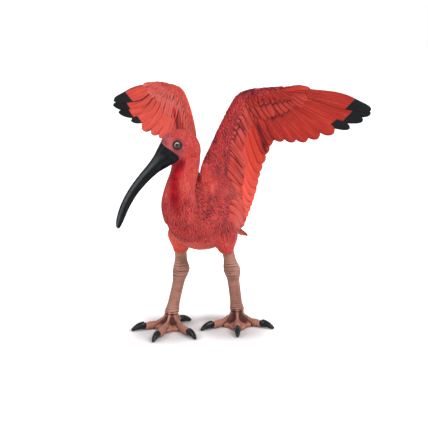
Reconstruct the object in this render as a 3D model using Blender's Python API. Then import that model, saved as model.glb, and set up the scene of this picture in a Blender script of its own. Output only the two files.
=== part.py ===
"""A painted toy scarlet ibis, about 96 mm tall, standing with both wings raised.

The bird faces -Y, its left side is +X and its feet rest on the plane Z = 0.
All the sizes below are in millimetres, in the bird's own frame, whose Z axis
runs up through the middle of the body. The whole bird hangs from one empty,
which is moved until the middle of the bird's box stands over the origin.
"""
import math

import bmesh
import bpy
from mathutils import Vector

MM = 0.001
GAP = 0.3  # clearance between parts that touch
MERGE_REACHES = (0.002, 0.0005, 0.0001)
CUT_REACH = 120.0  # half the size of the block that cuts a part along a plane

# How finely each kind of tube and ball is divided
EYE_SIDES = 14
CORE_SIDES, CORE_RINGS = 8, 14
THIGH_SIDES, THIGH_RINGS = 16, 8
SHANK_SIDES, SHANK_RINGS = 12, 20
ANKLE_SIDES, ANKLE_RINGS = 14, 7
TOE_SIDES, TOE_RINGS = 8, 11
CLAW_SIDES, CLAW_RINGS = 8, 5

# Body: how far along Y, middle height, half height and half width of each section
BODY_SECTIONS = (
    (-24.0, 49.0, 3.0, 3.2),
    (-21.5, 49.6, 7.6, 5.6),
    (-15.5, 49.4, 11.8, 8.6),
    (-7.5, 48.6, 15.2, 10.9),
    (1.0, 46.2, 14.6, 12.0),
    (9.0, 43.5, 12.0, 10.4),
    (17.0, 40.3, 8.4, 7.8),
    (23.0, 37.4, 5.2, 5.4),
    (26.5, 35.6, 2.4, 3.2),
)
BODY_SIDES = 22
BODY_RINGS = 20

# Neck: middle of each section and its radius, from the head down to the breast
NECK_SECTIONS = (
    (1.5, -18.3, 72.6, 5.2),
    (1.4, -18.8, 69.6, 5.2),
    (1.0, -19.6, 66.0, 5.1),
    (0.5, -21.4, 62.0, 5.4),
    (0.2, -22.4, 58.5, 5.9),
    (0.2, -22.4, 54.5, 6.5),
    (0.2, -20.5, 49.0, 6.4),
)
NECK_SIDES = 16
NECK_RINGS = 11

# Head: it looks down and to the bird's right
HEAD_CENTRE = (-0.5, -19.0, 76.0)
HEAD_YAW = math.radians(38.0)
HEAD_SECTIONS = (
    (-7.6, -1.8, 1.4, 1.4),
    (-6.6, -1.4, 4.0, 3.2),
    (-4.2, -0.5, 5.8, 4.5),
    (-1.0, 0.0, 6.6, 5.2),
    (2.6, 0.3, 6.3, 5.2),
    (5.4, 0.2, 5.1, 4.1),
    (7.4, 0.0, 3.2, 2.8),
    (8.0, -0.1, 1.2, 1.2),
)
HEAD_SIDES = 18
HEAD_RINGS = 14
EYE_FORWARD = 3.2
EYE_UP = 1.7
EYE_SIDEWAYS = 3.7
EYE_RADIUS = 1.65
SOCKET_RADIUS = EYE_RADIUS + GAP

# Bill: forward and up from the head's middle, height and width of each section
BILL_SECTIONS = (
    (3.4, -0.9, 8.8, 7.4),
    (5.8, -2.6, 8.3, 6.6),
    (8.3, -4.5, 6.8, 5.3),
    (11.2, -6.8, 5.1, 4.1),
    (15.3, -10.4, 4.3, 3.4),
    (19.5, -14.9, 3.8, 3.1),
    (22.8, -20.0, 3.5, 2.9),
    (24.9, -25.0, 2.8, 2.5),
    (25.8, -28.1, 1.3, 1.3),
)
BILL_SIDES = 8
BILL_RINGS = 16

# Wing lines, shoulder to tip, drawn for the left wing: leading and trailing edge
WING_LEADING = (
    (5.0, -14.5, 59.5),
    (4.0, -11.3, 67.4),
    (3.7, -1.7, 74.5),
    (6.2, 2.4, 82.7),
    (11.8, 5.8, 93.0),
    (21.0, 11.5, 94.8),
    (31.3, 17.3, 94.4),
    (44.0, 24.0, 91.0),
    (56.8, 28.6, 84.6),
)
WING_TRAILING = (
    (6.3, 24.0, 34.5),
    (9.1, 23.8, 42.5),
    (12.2, 22.2, 50.5),
    (15.2, 20.0, 60.3),
    (22.0, 18.4, 72.6),
    (30.2, 23.0, 71.8),
    (38.6, 26.5, 73.0),
    (48.8, 30.4, 75.9),
    (58.0, 29.6, 81.8),
)
WING_CAMBER = (-1.4, 1.6)  # hollow of the underside, at the shoulder and at the tip
WING_RAISE = 0.038  # rise of the left wing, and drop of the right, over its span
WING_SPLIT = 0.5
CORE_SPAN = (0.015, 0.86)  # where the arm inside the wing starts and ends
CORE_REACH = 0.62  # its share of the chord at the shoulder
CORE_NARROWS = 0.62  # what it loses of that towards the tip
CORE_THICKNESS = 2.6
CORE_THINS = 0.55
SHOULDER_SWELL = 2.4  # extra flesh on the underside where the arm leaves the body
SHOULDER_REACH = 0.4
QUILL_THICKNESS = 0.8
COVERT_THICKNESS = 0.8
GREATER_LIFT = 0.6
MEDIAN_LIFT = 0.95
SHINGLE = 0.28  # rise of a feather's edge over its shaft

# Feathers of one wing: the first and last feather's root and tip as (span, chord)
INNER_QUILLS = dict(
    count=10, root=((0.20, 0.42), (0.545, 0.40)), tip=((0.015, 0.955), (0.475, 1.0)), width=7.4)
OUTER_QUILLS = dict(
    count=9, root=((0.555, 0.30), (0.76, 0.16)), tip=((0.553, 1.0), (0.995, 0.35)), width=6.4)
GREATER_COVERTS = dict(
    count=9, root=((0.16, 0.34), (0.74, 0.18)), tip=((0.055, 0.66), (0.79, 0.46)), width=8.2)
MEDIAN_COVERTS = dict(
    count=7, root=((0.19, 0.20), (0.70, 0.15)), tip=((0.09, 0.44), (0.76, 0.29)), width=9.2)
TIP_HOOK = 6  # how late the row of tips turns in to the leading edge

# Tail: a short fan of feathers under the rump
TAIL_ROOT = (0.0, 17.0, 41.0)
TAIL_LENGTH = 18.5
TAIL_DROP = math.radians(38.0)
TAIL_SPREAD = math.radians(18.0)
TAIL_COUNT = 7
TAIL_FEATHER_WIDTH = 5.2
TAIL_FEATHER_THICKNESS = 1.0
TAIL_STEP = 0.35  # how far each feather lies under its inner neighbour
TAIL_TILT = 0.3
TAIL_SHORTENS = 0.06

# Legs: hip, knee, hock and foot of each, then its toes by heading, reach and rise
THIGH_TOP = 43.5
THIGH_RADII = (1.2, 4.4, 5.4, 5.0, 4.1, 2.9)
THIGH_DEPTH = 1.15  # fore and aft against sideways
SHANK_RADIUS = 2.25
SHANK_DEPTH = 1.08
HOCK_SWELL = 1.0
HOCK_REACH = 3.0
SHANK_FLARE = (0.25, 2.0)  # how far the leg widens over the ankle, and how soon
SHANK_FOLD = (0.2, 1.2, 0.6)  # a skin fold over the ankle: size, height and reach
ANKLE_TOP = 6.4
ANKLE_RADIUS = 2.65
ANKLE_FOLD = 0.18
ANKLE_FOLDS = 2.5
ANKLE_FOLD_END = 0.4
ANKLE_SPREAD = 0.4
WEB_REACH = 4.6  # how much further the skin spreads between the front toes
LEGS = {
    "right": dict(hip=(-7.6, -1.6), knee=(-9.8, -1.3, 29.6), hock=(-10.6, 0.8, 21.5), foot=(-11.3, -6.6)),
    "left": dict(hip=(6.2, 0.4), knee=(9.3, 0.9, 31.0), hock=(9.9, 4.6, 23.0), foot=(10.9, 7.4)),
}
TOES = {
    "right": dict(
        outer=(-41.0, 17.0, 0.0), middle=(6.0, 20.4, 0.0), inner=(56.0, 19.0, 0.0),
        hind=(148.0, 9.8, 0.5)),
    "left": dict(
        inner=(-30.5, 17.4, 0.0), middle=(25.0, 17.2, 0.0), outer=(86.0, 16.4, 0.0),
        hind=(200.0, 11.0, 0.5)),
}
TOE_RADIUS = 1.75
TOE_TAPER = 0.2
TOE_HEIGHT = 1.3  # of a toe's middle line over the ground
TOE_SLOPE = (3.2, 2.6)  # its rise to the ankle, and how soon that ends
TOE_SCUTES = 5
SCUTE_HEIGHT = 0.1
CLAW_LENGTH = 5.4
CLAW_RADIUS = 1.35
CLAW_TIP = 0.22
CLAW_HEIGHT = 1.75
CLAW_ARCH = 0.45
CLAW_DROP = 1.15
CLAW_CLEARANCE = 0.12  # of its underside over the ground


def clear_scene():
    for item in list(bpy.data.objects):
        bpy.data.objects.remove(item, do_unlink=True)


def painted(name, colour, roughness):
    """A matt or glossy paint over the moulded plastic."""
    material = bpy.data.materials.new(name)
    material.use_nodes = True
    shader = material.node_tree.nodes["Principled BSDF"]
    shader.inputs["Base Color"].default_value = (*colour, 1.0)
    shader.inputs["Roughness"].default_value = roughness
    shader.inputs["Metallic"].default_value = 0.0
    return material


def along(points, t):
    """The point at t, from 0 to 1, on a smooth curve through evenly spaced points."""
    last = len(points) - 1
    place = min(max(t, 0.0), 1.0) * last
    index = min(int(place), last - 1)
    f = place - index
    p1, p2 = Vector(points[index]), Vector(points[index + 1])
    p0 = Vector(points[index - 1]) if index > 0 else 2 * p1 - p2
    p3 = Vector(points[index + 2]) if index + 2 <= last else 2 * p2 - p1
    bend = 2 * p0 - 5 * p1 + 4 * p2 - p3
    turn = -p0 + 3 * p1 - 3 * p2 + p3
    return 0.5 * (2 * p1 + (p2 - p0) * f + bend * f * f + turn * f ** 3)


def new_object(name, mesh_source):
    """Turn a bmesh into an object, with its faces pointing out and split into triangles."""
    bmesh.ops.recalc_face_normals(mesh_source, faces=mesh_source.faces)
    if mesh_source.calc_volume(signed=True) < 0:
        bmesh.ops.reverse_faces(mesh_source, faces=mesh_source.faces)
    bmesh.ops.triangulate(mesh_source, faces=mesh_source.faces, quad_method="SHORT_EDGE")
    mesh = bpy.data.meshes.new(name)
    mesh_source.to_mesh(mesh)
    mesh_source.free()
    item = bpy.data.objects.new(name, mesh)
    bpy.context.collection.objects.link(item)
    return item


def tube(name, sides, rings, place):
    """A closed tube: place(t, angle) gives each point in millimetres."""
    shape = bmesh.new()
    bmesh.ops.create_cone(shape, cap_ends=True, segments=sides, radius1=1, radius2=1, depth=1)
    lengthwise = [e for e in shape.edges if abs(e.verts[0].co.z - e.verts[1].co.z) > 0.5]
    bmesh.ops.subdivide_edges(shape, edges=lengthwise, cuts=rings - 2, use_grid_fill=False)
    for corner in shape.verts:
        angle = math.atan2(corner.co.y, corner.co.x)
        corner.co = place(corner.co.z + 0.5, angle) * MM
    return new_object(name, shape)


def plate(name, steps, place):
    """A thin closed blade: place(t, across, over) takes a step number and two signs."""
    shape = bmesh.new()
    bmesh.ops.create_cube(shape, size=2.0)
    lengthwise = [e for e in shape.edges if abs(e.verts[0].co.x - e.verts[1].co.x) > 1.0]
    bmesh.ops.subdivide_edges(shape, edges=lengthwise, cuts=steps - 2, use_grid_fill=False)
    for corner in shape.verts:
        step = round((corner.co.x + 1) / 2 * (steps - 1))
        corner.co = place(step, math.copysign(1, corner.co.y), math.copysign(1, corner.co.z)) * MM
    return new_object(name, shape)


def merged(mesh, reach):
    """A mesh as triangles, with the corners that lie within reach of one another made one."""
    solid = bmesh.new()
    solid.from_mesh(mesh)
    bmesh.ops.remove_doubles(solid, verts=solid.verts, dist=reach * MM)
    bmesh.ops.dissolve_degenerate(solid, edges=solid.edges, dist=reach * MM)
    bmesh.ops.triangulate(solid, faces=solid.faces, quad_method="SHORT_EDGE")
    return solid


def baked(item):
    """Apply an object's modifiers, merge as far as it stays closed, keep its largest surface."""
    graph = bpy.context.evaluated_depsgraph_get()
    mesh = bpy.data.meshes.new_from_object(item.evaluated_get(graph))
    item.modifiers.clear()
    for reach in MERGE_REACHES:
        solid = merged(mesh, reach)
        if all(len(edge.link_faces) == 2 for edge in solid.edges):
            break
    groups = loose_groups(solid)
    largest = max(groups, key=lambda group: abs(group_volume(group)))
    spare = [face for group in groups if group is not largest for face in group]
    bmesh.ops.delete(solid, geom=spare, context="FACES")
    bare = [corner for corner in solid.verts if not corner.link_faces]
    bmesh.ops.delete(solid, geom=bare, context="VERTS")
    solid.to_mesh(item.data)
    solid.free()
    return item


def loose_groups(solid):
    """The faces of a mesh, one list for each closed surface."""
    solid.faces.ensure_lookup_table()
    unseen = set(solid.faces)
    groups = []
    while unseen:
        front = [unseen.pop()]
        group = list(front)
        while front:
            face = front.pop()
            for edge in face.edges:
                for other in edge.link_faces:
                    if other in unseen:
                        unseen.remove(other)
                        front.append(other)
                        group.append(other)
        groups.append(group)
    return groups


def group_volume(group):
    total = 0.0
    for face in group:
        a, b, c = (corner.co for corner in face.verts)
        total += a.dot(b.cross(c)) / 6.0
    return total


def joined(name, pieces):
    """One closed body from several that cross one another."""
    base = pieces[0]
    others = bpy.data.collections.new(name + " pieces")
    for piece in pieces[1:]:
        others.objects.link(piece)
    fuse = base.modifiers.new("fuse", "BOOLEAN")
    fuse.operation = "UNION"
    fuse.operand_type = "COLLECTION"
    fuse.collection = others
    fuse.solver = "MANIFOLD"
    baked(base)
    for piece in list(others.objects):
        bpy.data.objects.remove(piece, do_unlink=True)
    bpy.data.collections.remove(others)
    base.name = name
    base.data.name = name
    return base


def carved(item, cutter, keep_cutter=False):
    """Take the cutter's shape out of an object."""
    carve = item.modifiers.new("carve", "BOOLEAN")
    carve.operation = "DIFFERENCE"
    carve.object = cutter
    carve.solver = "MANIFOLD"
    baked(item)
    if not keep_cutter:
        bpy.data.objects.remove(cutter, do_unlink=True)
    return item


def sliced(item, point, normal):
    """Keep the side of a plane that the normal points away from."""
    block = bmesh.new()
    bmesh.ops.create_cube(block, size=2 * CUT_REACH)
    turn = Vector(normal).to_track_quat("Z", "Y")
    for corner in block.verts:
        corner.co = (Vector(point) + turn @ (corner.co + Vector((0, 0, CUT_REACH)))) * MM
    return carved(item, new_object("cutting block", block))


def copied(item, name):
    twin = bpy.data.objects.new(name, item.data.copy())
    bpy.context.collection.objects.link(twin)
    return twin


def body_point(t, angle, grow=0.0):
    """A point on the body; grow moves the surface outwards."""
    reach, middle, half_height, half_width = along(BODY_SECTIONS, t)
    end = (2 * t - 1) ** 9 * grow
    return Vector((
        (half_width + grow) * math.cos(angle),
        reach + end,
        middle + (half_height + grow) * math.sin(angle)))


def make_body(name, grow=0.0):
    return tube(name, BODY_SIDES, BODY_RINGS, lambda t, angle: body_point(t, angle, grow))


def neck_point(t, angle):
    x, y, z, radius = along(NECK_SECTIONS, t)
    below, above = along(NECK_SECTIONS, min(t + 0.02, 1.0)), along(NECK_SECTIONS, max(t - 0.02, 0.0))
    ahead = (below - above).to_3d()
    across = Vector((1, 0, 0))
    front = ahead.cross(across).normalized()
    return Vector((x, y, z)) + radius * (math.cos(angle) * across + math.sin(angle) * front)


def head_place(forward, sideways, up):
    """From the head's own axes to the bird's: sideways is to the head's left."""
    ahead = Vector((-math.sin(HEAD_YAW), -math.cos(HEAD_YAW), 0))
    left = Vector((math.cos(HEAD_YAW), -math.sin(HEAD_YAW), 0))
    return Vector(HEAD_CENTRE) + ahead * forward + left * sideways + Vector((0, 0, up))


def head_point(t, angle, grow=0.0):
    forward, middle, half_height, half_width = along(HEAD_SECTIONS, t)
    return head_place(
        forward + (2 * t - 1) ** 9 * grow,
        (half_width + grow) * math.cos(angle),
        middle + (half_height + grow) * math.sin(angle))


def bill_frame(t):
    forward, up, height, width = along(BILL_SECTIONS, t)
    before, after = along(BILL_SECTIONS, max(t - 0.02, 0.0)), along(BILL_SECTIONS, min(t + 0.02, 1.0))
    slope = math.atan2(after[1] - before[1], after[0] - before[0])
    return forward, up, height, width, slope


def bill_point(t, angle, side):
    """Half of the bill: side +1 is the upper half and -1 the lower half."""
    forward, up, height, width, slope = bill_frame(t)
    over = side * GAP / 2 + max(side * math.sin(angle), 0.0) * side * (height - GAP) / 2
    across = math.cos(angle) * width / 2
    return head_place(forward - math.sin(slope) * over, across, up + math.cos(slope) * over)


def make_head(name):
    """The head, with a socket for each eye and its underside cut flat on the neck."""
    head = tube(name, HEAD_SIDES, HEAD_RINGS, head_point)
    for side in (1, -1):
        place = head_place(EYE_FORWARD, side * EYE_SIDEWAYS, EYE_UP)
        socket = ball("socket", place, SOCKET_RADIUS, EYE_SIDES)
        carved(head, socket)
    return head


def ball(name, centre, radius, sides):
    shape = bmesh.new()
    bmesh.ops.create_uvsphere(shape, u_segments=sides, v_segments=sides // 2, radius=radius)
    for corner in shape.verts:
        corner.co = (centre + corner.co) * MM
    return new_object(name, shape)


def make_bill(name, side, head_clearance):
    """Half of the bill, fitted to the face with a thin gap."""
    half = tube(name, BILL_SIDES, BILL_RINGS, lambda t, angle: bill_point(t, angle, side))
    return carved(half, head_clearance, keep_cutter=True)


def wing_point(span, chord, lift, side):
    """A point of the wing: span and chord from 0 to 1, lift off the sheet to the underside."""
    def sheet(s, c):
        lead, trail = along(WING_LEADING, s), along(WING_TRAILING, s)
        return lead.lerp(trail, c)

    step = 0.01
    along_span = sheet(min(span + step, 1.0), chord) - sheet(max(span - step, 0.0), chord)
    along_chord = sheet(span, chord + step) - sheet(span, chord - step)
    under = along_chord.cross(along_span).normalized()
    depth = WING_CAMBER[0] + (WING_CAMBER[1] - WING_CAMBER[0]) * span
    bulge = depth * 4 * max(chord, 0.0) * (1 - min(chord, 1.0))
    point = sheet(span, chord) + under * (lift - bulge)
    point.x *= side
    point.z += side * WING_RAISE * abs(point.x)
    return point


def core_point(t, angle, side):
    """The arm inside the wing: a flat spindle that thins towards the tip and the feathers."""
    span = CORE_SPAN[0] + (CORE_SPAN[1] - CORE_SPAN[0]) * t
    reach = CORE_REACH * (1 - CORE_NARROWS * t)
    chord = reach * (0.5 - 0.5 * math.cos(angle))
    thickness = CORE_THICKNESS * (1 - CORE_THINS * t) * (1.0 if 0 < t < 1 else 0.4)
    swell = SHOULDER_SWELL * max(1 - t / SHOULDER_REACH, 0.0) * max(math.sin(angle), 0.0)
    return wing_point(span, chord, math.sin(angle) * thickness / 2 + swell, side)


FEATHER_OUTLINE = ((0.0, 0.55), (0.4, 0.92), (0.75, 1.0), (0.92, 0.78), (1.0, 0.3))
COVERT_OUTLINE = ((0.0, 0.3), (0.5, 1.0), (0.84, 0.84), (1.0, 0.34))


def feather(name, root, tip, width, lift, thickness, side, outline):
    """One vane on the wing's sheet, from root to tip, each a (span, chord) pair."""
    def middle(f, up=0.0):
        span = root[0] + (tip[0] - root[0]) * f
        chord = root[1] + (tip[1] - root[1]) * f
        return wing_point(span, chord, up, side)

    def corner(step, across, over):
        f, share = outline[step]
        centre = middle(f)
        ahead = (middle(min(f + 0.05, 1.0)) - middle(max(f - 0.05, 0.0))).normalized()
        up = (middle(f, 1.0) - centre).normalized()
        out = ahead.cross(up).normalized()
        rise = lift + across * side * SHINGLE + over * thickness / 2
        return centre + out * (across * share * width / 2) + up * rise

    return plate(name, len(outline), corner)


def feather_row(spec, lift, thickness, side, outline=FEATHER_OUTLINE):
    """A row of vanes whose roots and tips run evenly between two ends."""
    row = []
    for index in range(spec["count"]):
        f = index / (spec["count"] - 1)
        root = [a + (b - a) * f for a, b in zip(*spec["root"])]
        ease = (f, f ** TIP_HOOK)
        tip = [a + (b - a) * part for a, b, part in zip(*spec["tip"], ease)]
        row.append(feather("vane", root, tip, spec["width"], lift, thickness, side, outline))
    return row


def make_wing(side_name, side, body_clearance):
    pieces = [tube("core", CORE_SIDES, CORE_RINGS, lambda t, angle: core_point(t, angle, side))]
    pieces += feather_row(INNER_QUILLS, 0.0, QUILL_THICKNESS, side)
    pieces += feather_row(OUTER_QUILLS, 0.0, QUILL_THICKNESS, side)
    for face in (1, -1):
        pieces += feather_row(GREATER_COVERTS, face * GREATER_LIFT, COVERT_THICKNESS, side, COVERT_OUTLINE)
        pieces += feather_row(MEDIAN_COVERTS, face * MEDIAN_LIFT, COVERT_THICKNESS, side, COVERT_OUTLINE)
    inner = joined("wing_" + side_name + "_inner", pieces)
    carved(inner, body_clearance, keep_cutter=True)
    outer = copied(inner, "wing_" + side_name + "_outer")
    lead = wing_point(WING_SPLIT, 0.0, 0.0, side)
    trail = wing_point(WING_SPLIT, 1.0, 0.0, side)
    under = wing_point(WING_SPLIT, 0.5, 1.0, side) - wing_point(WING_SPLIT, 0.5, 0.0, side)
    outward = (trail - lead).cross(under).normalized()
    if outward.x * side < 0:
        outward.negate()
    sliced(inner, lead - outward * GAP / 2, outward)
    sliced(outer, lead + outward * GAP / 2, -outward)
    return inner, outer


def make_tail(body_clearance):
    """The tail's feathers lie over one another, the middle one on top."""
    vanes = []
    half = (TAIL_COUNT - 1) / 2
    for index in range(TAIL_COUNT):
        offset = (index - half) / half
        turn = offset * TAIL_SPREAD
        ahead = Vector((
            math.sin(turn),
            math.cos(turn) * math.cos(TAIL_DROP),
            -math.cos(turn) * math.sin(TAIL_DROP)))
        up = Vector((0, math.sin(TAIL_DROP), math.cos(TAIL_DROP)))
        out = ahead.cross(up).normalized()
        length = TAIL_LENGTH * (1 - TAIL_SHORTENS * abs(offset))
        step_down = TAIL_STEP * abs(index - half)
        tilt = math.copysign(TAIL_TILT, -offset) * (offset != 0)

        def corner(step, across, over):
            f, share = FEATHER_OUTLINE[step]
            rise = over * TAIL_FEATHER_THICKNESS / 2 + across * tilt - step_down
            sideways = across * share * TAIL_FEATHER_WIDTH / 2
            return Vector(TAIL_ROOT) + ahead * length * f + out * sideways + up * rise

        vanes.append(plate("vane", len(FEATHER_OUTLINE), corner))
    return carved(joined("tail", vanes), body_clearance, keep_cutter=True)


def thigh_point(t, angle, leg):
    """A feathered cone that closes round the bare leg."""
    hip, knee = Vector((*leg["hip"], THIGH_TOP)), Vector(leg["knee"])
    centre = hip.lerp(knee, t)
    radius = along([(r, 0) for r in THIGH_RADII], t).x
    return centre + Vector((radius * math.cos(angle), THIGH_DEPTH * radius * math.sin(angle), 0))


def shank_point(t, angle, leg):
    """The bare leg from the thigh's end over the hock to the ankle."""
    top = Vector(leg["knee"]) - Vector((0, 0, GAP))
    hock = Vector(leg["hock"])
    ankle = Vector((*leg["foot"], ANKLE_TOP + GAP))
    height = top.z + (ankle.z - top.z) * t
    if height > hock.z:
        centre = hock.lerp(top, (height - hock.z) / (top.z - hock.z))
    else:
        centre = ankle.lerp(hock, (height - ankle.z) / (hock.z - ankle.z))
    swell = HOCK_SWELL * math.exp(-((height - hock.z) / HOCK_REACH) ** 2)
    fold_size, fold_height, fold_reach = SHANK_FOLD
    fold = fold_size * math.exp(-((height - ankle.z - fold_height) / fold_reach) ** 2)
    flare = SHANK_FLARE[0] * math.exp(-(height - ankle.z) / SHANK_FLARE[1])
    radius = SHANK_RADIUS + swell + fold + flare
    return Vector((
        centre.x + radius * math.cos(angle),
        centre.y + SHANK_DEPTH * radius * math.sin(angle),
        height))


def toe_direction(degrees):
    """Straight ahead is 0, and a turn to the bird's left is positive."""
    turn = math.radians(degrees)
    return Vector((math.sin(turn), -math.cos(turn), 0))


def toe_point(t, angle, foot, heading, length, rise):
    """A toe: it leaves the ankle steeply, then lies along the ground, ringed by scutes."""
    forward = toe_direction(heading)
    side = Vector((-forward.y, forward.x, 0))
    reach = length * t
    height = TOE_HEIGHT + rise * t + TOE_SLOPE[0] * math.exp(-reach / TOE_SLOPE[1])
    ring = SCUTE_HEIGHT * math.cos(2 * math.pi * TOE_SCUTES * t)
    radius = TOE_RADIUS * (1 - TOE_TAPER * t) + ring
    centre = Vector((*foot, height)) + forward * reach
    return centre + side * radius * math.cos(angle) + Vector((0, 0, radius * math.sin(angle)))


def ankle_point(t, angle, foot, heading):
    """The skin that spreads from the ankle down between the front toes."""
    ahead = toe_direction(heading)
    facing = max(math.cos(angle) * ahead.x + math.sin(angle) * ahead.y, 0.0)
    height = ANKLE_TOP * (1 - t) - GAP * t
    fold = ANKLE_FOLD * math.cos(2 * math.pi * ANKLE_FOLDS * t) if t < ANKLE_FOLD_END else 0.0
    radius = ANKLE_RADIUS + fold + (ANKLE_SPREAD + WEB_REACH * facing) * t ** 2
    return Vector((foot[0] + radius * math.cos(angle), foot[1] + radius * math.sin(angle), height))


def claw_point(t, angle, foot, heading, start, rise):
    """A claw: a stout curved horn whose tip comes down to just over the ground."""
    forward = toe_direction(heading)
    side = Vector((-forward.y, forward.x, 0))
    reach = start + GAP + CLAW_LENGTH * t
    arch = CLAW_ARCH * math.sin(math.pi * min(t * 1.1, 1.0))
    height = CLAW_HEIGHT + rise * (1 - t * t) + arch - CLAW_DROP * t ** 1.6
    radius = CLAW_RADIUS * (1 - t ** 1.8) + CLAW_TIP
    centre = Vector((*foot, 0)) + forward * reach + side * 0.85 * radius * math.cos(angle)
    centre.z = max(height + radius * math.sin(angle), CLAW_CLEARANCE)
    return centre


def make_foot(name, side_name, leg):
    foot = leg["foot"]

    front = TOES[side_name]["middle"][0]
    pieces = [tube("ankle", ANKLE_SIDES, ANKLE_RINGS, lambda t, angle: ankle_point(t, angle, foot, front))]
    for heading, reach, rise in TOES[side_name].values():
        length = reach - CLAW_LENGTH
        pieces.append(tube(
            "toe", TOE_SIDES, TOE_RINGS, lambda t, angle: toe_point(t, angle, foot, heading, length, rise)))
    shape = joined(name, pieces)
    return sliced(shape, (0, 0, 0), Vector((0, 0, -1)))


def dress(item, material):
    item.data.materials.clear()
    item.data.materials.append(material)
    item.data.shade_smooth()
    item.data.set_sharp_from_angle(angle=math.radians(40))


def box_shift(items):
    """The move that brings the middle of the bird's box over the origin."""
    corners = [corner.co for item in items for corner in item.data.vertices]
    low = [min(corner[axis] for corner in corners) for axis in range(2)]
    high = [max(corner[axis] for corner in corners) for axis in range(2)]
    return Vector((-(low[0] + high[0]) / 2, -(low[1] + high[1]) / 2, 0))


def main():
    clear_scene()
    red = painted("scarlet paint", (0.52, 0.05, 0.045), 0.6)
    bright = painted("bright scarlet paint", (0.70, 0.09, 0.07), 0.55)
    black = painted("black paint", (0.02, 0.022, 0.025), 0.3)
    skin = painted("leg paint", (0.36, 0.16, 0.11), 0.6)
    gloss = painted("eye gloss", (0.55, 0.45, 0.25), 0.1)
    bird = bpy.data.objects.new("bird", None)
    bpy.context.collection.objects.link(bird)

    clearance = make_body("body clearance", GAP)
    parts = {}
    for side_name, side in (("left", 1), ("right", -1)):
        for wing in make_wing(side_name, side, clearance):
            parts[wing.name] = (wing, red)
    tail = make_tail(clearance)
    parts["tail"] = (tail, red)

    head_clearance = tube(
        "head clearance", HEAD_SIDES, HEAD_RINGS, lambda t, angle: head_point(t, angle, GAP))
    neck = tube("neck", NECK_SIDES, NECK_RINGS, neck_point)
    carved(neck, head_clearance, keep_cutter=True)
    carved(neck, clearance, keep_cutter=True)
    parts["neck"] = (neck, bright)
    for name, side in (("bill_upper", 1), ("bill_lower", -1)):
        parts[name] = (make_bill(name, side, head_clearance), black)
    bpy.data.objects.remove(head_clearance, do_unlink=True)
    parts["head"] = (make_head("head"), bright)
    for name, side in (("eye_left", 1), ("eye_right", -1)):
        place = head_place(EYE_FORWARD, side * EYE_SIDEWAYS, EYE_UP)
        parts[name] = (ball(name, place, EYE_RADIUS, EYE_SIDES), gloss)

    for side_name, leg in LEGS.items():
        thigh = tube(
            "thigh_" + side_name, THIGH_SIDES, THIGH_RINGS, lambda t, angle: thigh_point(t, angle, leg))
        carved(thigh, clearance, keep_cutter=True)
        parts[thigh.name] = (thigh, red)
        shank = tube(
            "shank_" + side_name, SHANK_SIDES, SHANK_RINGS, lambda t, angle: shank_point(t, angle, leg))
        parts[shank.name] = (shank, skin)
        foot = make_foot("foot_" + side_name, side_name, leg)
        parts[foot.name] = (foot, skin)
        for toe_name, (heading, reach, rise) in TOES[side_name].items():
            claw = tube(
                "claw_" + side_name + "_" + toe_name, CLAW_SIDES, CLAW_RINGS,
                lambda t, angle: claw_point(t, angle, leg["foot"], heading, reach - CLAW_LENGTH, rise))
            parts[claw.name] = (claw, black)
    bpy.data.objects.remove(clearance, do_unlink=True)
    parts["torso"] = (make_body("torso"), red)

    for item, material in parts.values():
        item.parent = bird
        dress(item, material)
    bird.location = box_shift([item for item, material in parts.values()])


main()
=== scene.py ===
# %% [markdown]
# # A painted toy ibis
# The object is a small figure of a scarlet ibis, moulded in soft plastic and painted by hand.
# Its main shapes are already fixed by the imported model. This lesson gives it the relief that
# the mould leaves and the paint that the brush leaves, one piece after another.

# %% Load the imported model
import math

import bmesh
import bpy
import numpy as np
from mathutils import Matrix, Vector, kdtree, noise
from mathutils.bvhtree import BVHTree


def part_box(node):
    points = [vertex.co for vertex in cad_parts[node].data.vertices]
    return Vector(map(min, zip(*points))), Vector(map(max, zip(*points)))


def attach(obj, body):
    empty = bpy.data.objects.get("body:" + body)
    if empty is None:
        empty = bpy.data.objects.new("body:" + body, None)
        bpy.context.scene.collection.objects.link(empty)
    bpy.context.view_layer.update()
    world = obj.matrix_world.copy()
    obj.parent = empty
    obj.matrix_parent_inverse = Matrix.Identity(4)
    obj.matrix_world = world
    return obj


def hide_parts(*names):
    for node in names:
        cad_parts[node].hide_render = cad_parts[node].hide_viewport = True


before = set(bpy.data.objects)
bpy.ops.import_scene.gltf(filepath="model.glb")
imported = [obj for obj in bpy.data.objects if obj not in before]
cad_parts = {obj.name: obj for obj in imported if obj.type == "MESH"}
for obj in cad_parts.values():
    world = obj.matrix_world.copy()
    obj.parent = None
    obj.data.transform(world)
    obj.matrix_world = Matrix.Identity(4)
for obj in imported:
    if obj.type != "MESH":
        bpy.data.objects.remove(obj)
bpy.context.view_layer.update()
print("nodes:", len(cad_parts))

# %% [markdown]
# ## Sizes in millimetres
# It is easiest to think of a figure of this size in millimetres, and in the bird's own frame,
# where Z = 0 is the ground under its feet and the head looks along -Y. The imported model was
# moved sideways so that the middle of its box stands over the origin. The left eye is a node
# whose place is known in both frames, so it gives that move.

# %% From the bird's frame to the scene's
MM = 0.001
HEAD_CENTRE = np.array((-0.5, -19.0, 76.0))
HEAD_YAW = math.radians(38.0)
HEAD_AHEAD = np.array((-math.sin(HEAD_YAW), -math.cos(HEAD_YAW), 0.0))
HEAD_LEFT = np.array((math.cos(HEAD_YAW), -math.sin(HEAD_YAW), 0.0))
UP = np.array((0.0, 0.0, 1.0))
EYE = (3.2, 3.7, 1.7)  # ahead of the head's middle, to the side and up


def head_place(ahead, sideways, up):
    """From the head's own axes to the bird's; each value may be an array."""
    ahead, sideways, up = (np.asarray(part, float)[..., None] for part in (ahead, sideways, up))
    return HEAD_CENTRE + ahead * HEAD_AHEAD + sideways * HEAD_LEFT + up * UP


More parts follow.
